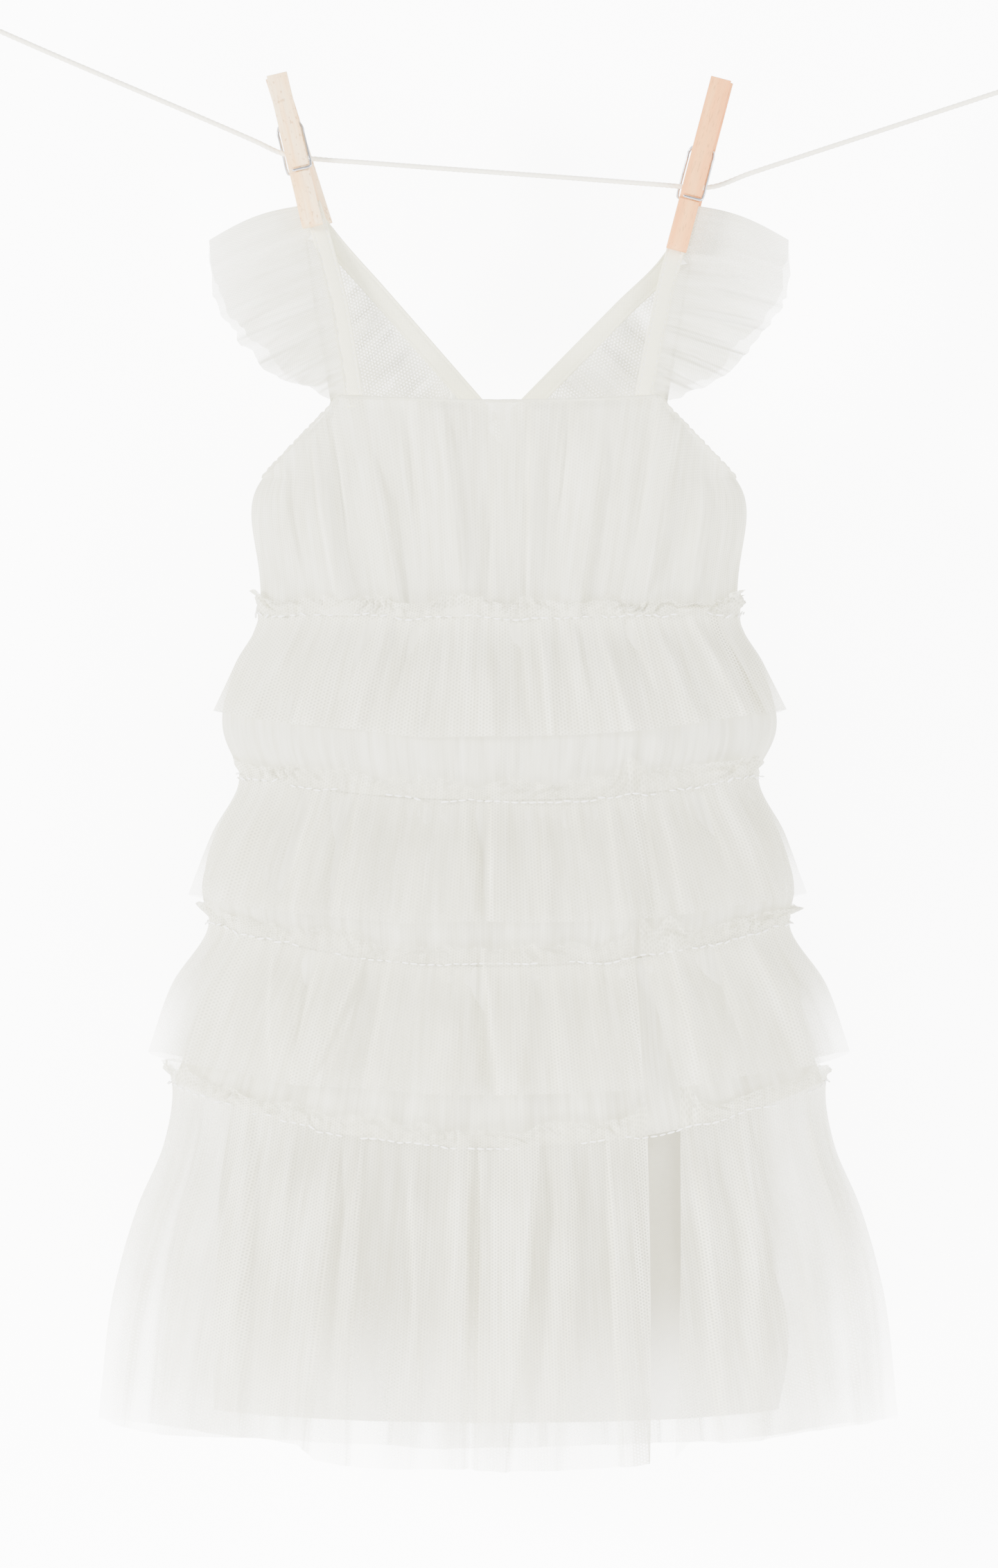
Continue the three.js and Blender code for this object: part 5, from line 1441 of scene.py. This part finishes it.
class DRESS_OT_tapes(bpy.types.Operator):
    """Add the stitched straps and neck tapes"""
    bl_idname = "dress.tapes"
    bl_label = "Straps and neck tapes"

    def execute(self, context):
        lines = []
        for side, way in WAY.items():
            strap, edges = tape_piece(f"strap_{side}_tape", STRAPS[side] + [STRAP_FOOT[side]],
                                      under_front_edge, f"strap_{side}")
            lines += edges
            neck, edges = tape_piece(f"neck_tape_{side}_folded", NECK_TAPES[side], on_back,
                                     f"neck_tape_{side}", mitre=NECK_MITRE_X + way * SEAM / 2)
            lines += edges
        stitched("tape_edge_stitches", lines, length=0.0019, gap=0.0007, radius=0.00022, seed=11)
        return {"FINISHED"}


class DRESS_OT_sleeves(bpy.types.Operator):
    """Add the two flutter sleeves"""
    bl_idname = "dress.sleeves"
    bl_label = "Flutter sleeves"

    def execute(self, context):
        for side in WAY:
            piece = sleeve_piece(side)
        return {"FINISHED"}


class DRESS_OT_seam_stitches(bpy.types.Operator):
    """Add the gathering stitches of the four skirt seams"""
    bl_idname = "dress.seam_stitches"
    bl_label = "Seam stitches"

    def execute(self, context):
        lines = []
        for k, ring in enumerate(SEAM_RINGS):
            lines += seam_lines(ring, 0.0016, 230 + 5 * k)
        # The thread is 0.3 mm thick, and drawn at 0.9 mm so that the gathered line shows.
        stitched("seam_stitches", lines, length=0.0036, gap=0.0003, radius=0.00048, seed=7)
        return {"FINISHED"}


class DRESS_OT_pegs(bpy.types.Operator):
    """Add the two wooden spring pegs"""
    bl_idname = "dress.pegs"
    bl_label = "Pegs"

    def execute(self, context):
        look = context.scene.tulle_dress
        wire = material_named("zinc_plated_spring_steel", zinc_wire)
        left, right = PEGS["left"].lean, PEGS["right"].lean
        woods = {
            "left": peg_wood("birch_sawn", look.birch_colour, "#FFE8BE", left, BIRCH_FLECKS),
            "right": peg_wood("beech_sawn", look.beech_colour, "#F4AE68", right, BEECH_FLECKS),
        }
        for side, peg in PEGS.items():
            for leg in ("front", "rear"):
                peg_leg(f"peg_{side}_{leg}_leg", woods[side])
            peg_spring(side, peg, wire)
        return {"FINISHED"}


class DRESS_OT_stage(bpy.types.Operator):
    """Add the camera, the soft lights, the pale floor and the pale surroundings"""
    bl_idname = "dress.stage"
    bl_label = "Stage"

    def execute(self, context):
        scene = context.scene
        camera = bpy.data.cameras.new("camera")
        camera.lens = camera.sensor_width * CAMERA_FAR / VIEW_HIGH
        holder = bpy.data.objects.new("camera", camera)
        holder.location = (0, -CAMERA_FAR, VIEW_MIDDLE)
        holder.rotation_euler = (math.radians(90), 0, 0)
        scene.collection.objects.link(holder)
        scene.camera = holder

        for name, place, size, power in LAMPS:
            lamp = bpy.data.lights.new(name, "AREA")
            lamp.size, lamp.energy = size, power
            light = bpy.data.objects.new(name, lamp)
            light.location = place
            aim = Vector((0, 0, VIEW_MIDDLE)) - Vector(place)
            light.rotation_euler = aim.to_track_quat("-Z", "Y").to_euler()
            scene.collection.objects.link(light)

        scene.world = self.surroundings("pale_surroundings")
        paper = material_named("backlit_white_paper", backlit_paper)
        behind, below = CAD_BOX[1].y + BACKDROP_GAP, CAD_BOX[0].z - FLOOR_DROP
        wide, high = PAPER_HALF_WIDE, PAPER_TOP
        self.add_sheet(scene, "floor", paper, [
            (-wide, -wide, below), (wide, -wide, below),
            (wide, behind, below), (-wide, behind, below)])
        self.add_sheet(scene, "backdrop", paper, [
            (-wide, behind, below), (wide, behind, below),
            (wide, behind, high), (-wide, behind, high)])
        return {"FINISHED"}

    def surroundings(self, name):
        """Pale air all round, brighter to the camera than it lights the dress."""
        world = bpy.data.worlds.new(name)
        world.use_nodes = True
        tree = world.node_tree
        tree.nodes.clear()
        lights = add_node(tree, "ShaderNodeBackground", {
            "Color": (*linear("#FBFCFD"), 1), "Strength": AIR_LIGHT})
        shows = add_node(tree, "ShaderNodeBackground", {
            "Color": (*linear("#FDFDFD"), 1), "Strength": AIR_SHOWN})
        seen = add_node(tree, "ShaderNodeLightPath").outputs["Is Camera Ray"]
        both = add_node(tree, "ShaderNodeMixShader", {0: seen, 1: lights, 2: shows})
        add_node(tree, "ShaderNodeOutputWorld", {"Surface": both})
        return world

    def add_sheet(self, scene, name, material, corners):
        """A flat rectangle that belongs to the stage and not to the dress."""
        mesh = bpy.data.meshes.new(name)
        mesh.from_pydata(corners, [], [(0, 1, 2, 3)])
        mesh.materials.append(material)
        sheet = bpy.data.objects.new(name, mesh)
        scene.collection.objects.link(sheet)


STEPS = (
    DRESS_OT_stage, DRESS_OT_clothes_line, DRESS_OT_pegs, DRESS_OT_tapes, DRESS_OT_sleeves,
    DRESS_OT_bodice, DRESS_OT_skirt_lining, DRESS_OT_skirt_bases, DRESS_OT_skirt_flounces,
    DRESS_OT_seam_stitches,
)


class DRESS_PT_panel(bpy.types.Panel):
    """Sizes, colours and steps of the dress"""
    bl_label = "Tiered tulle dress"
    bl_idname = "DRESS_PT_panel"
    bl_space_type = "VIEW_3D"
    bl_region_type = "UI"
    bl_category = "Dress"

    def draw(self, context):
        look = context.scene.tulle_dress
        for name in look.bl_rna.properties.keys():
            if name not in ("rna_type", "name"):
                self.layout.prop(look, name)
        for step in STEPS:
            self.layout.operator(step.bl_idname)


CLASSES = (TulleDressSettings, *STEPS, DRESS_PT_panel)


def register():
    for item in CLASSES:
        bpy.utils.register_class(item)
    bpy.types.Scene.tulle_dress = PointerProperty(type=TulleDressSettings)


def unregister():
    del bpy.types.Scene.tulle_dress
    for item in reversed(CLASSES):
        bpy.utils.unregister_class(item)


def main():
    register()
    for step in STEPS:
        group, name = step.bl_idname.split(".")
        result = getattr(getattr(bpy.ops, group), name)()
        if "FINISHED" not in result:
            raise RuntimeError(f"{step.bl_label} was not finished")
    bpy.context.view_layer.update()


if __name__ == "__main__":
    main()
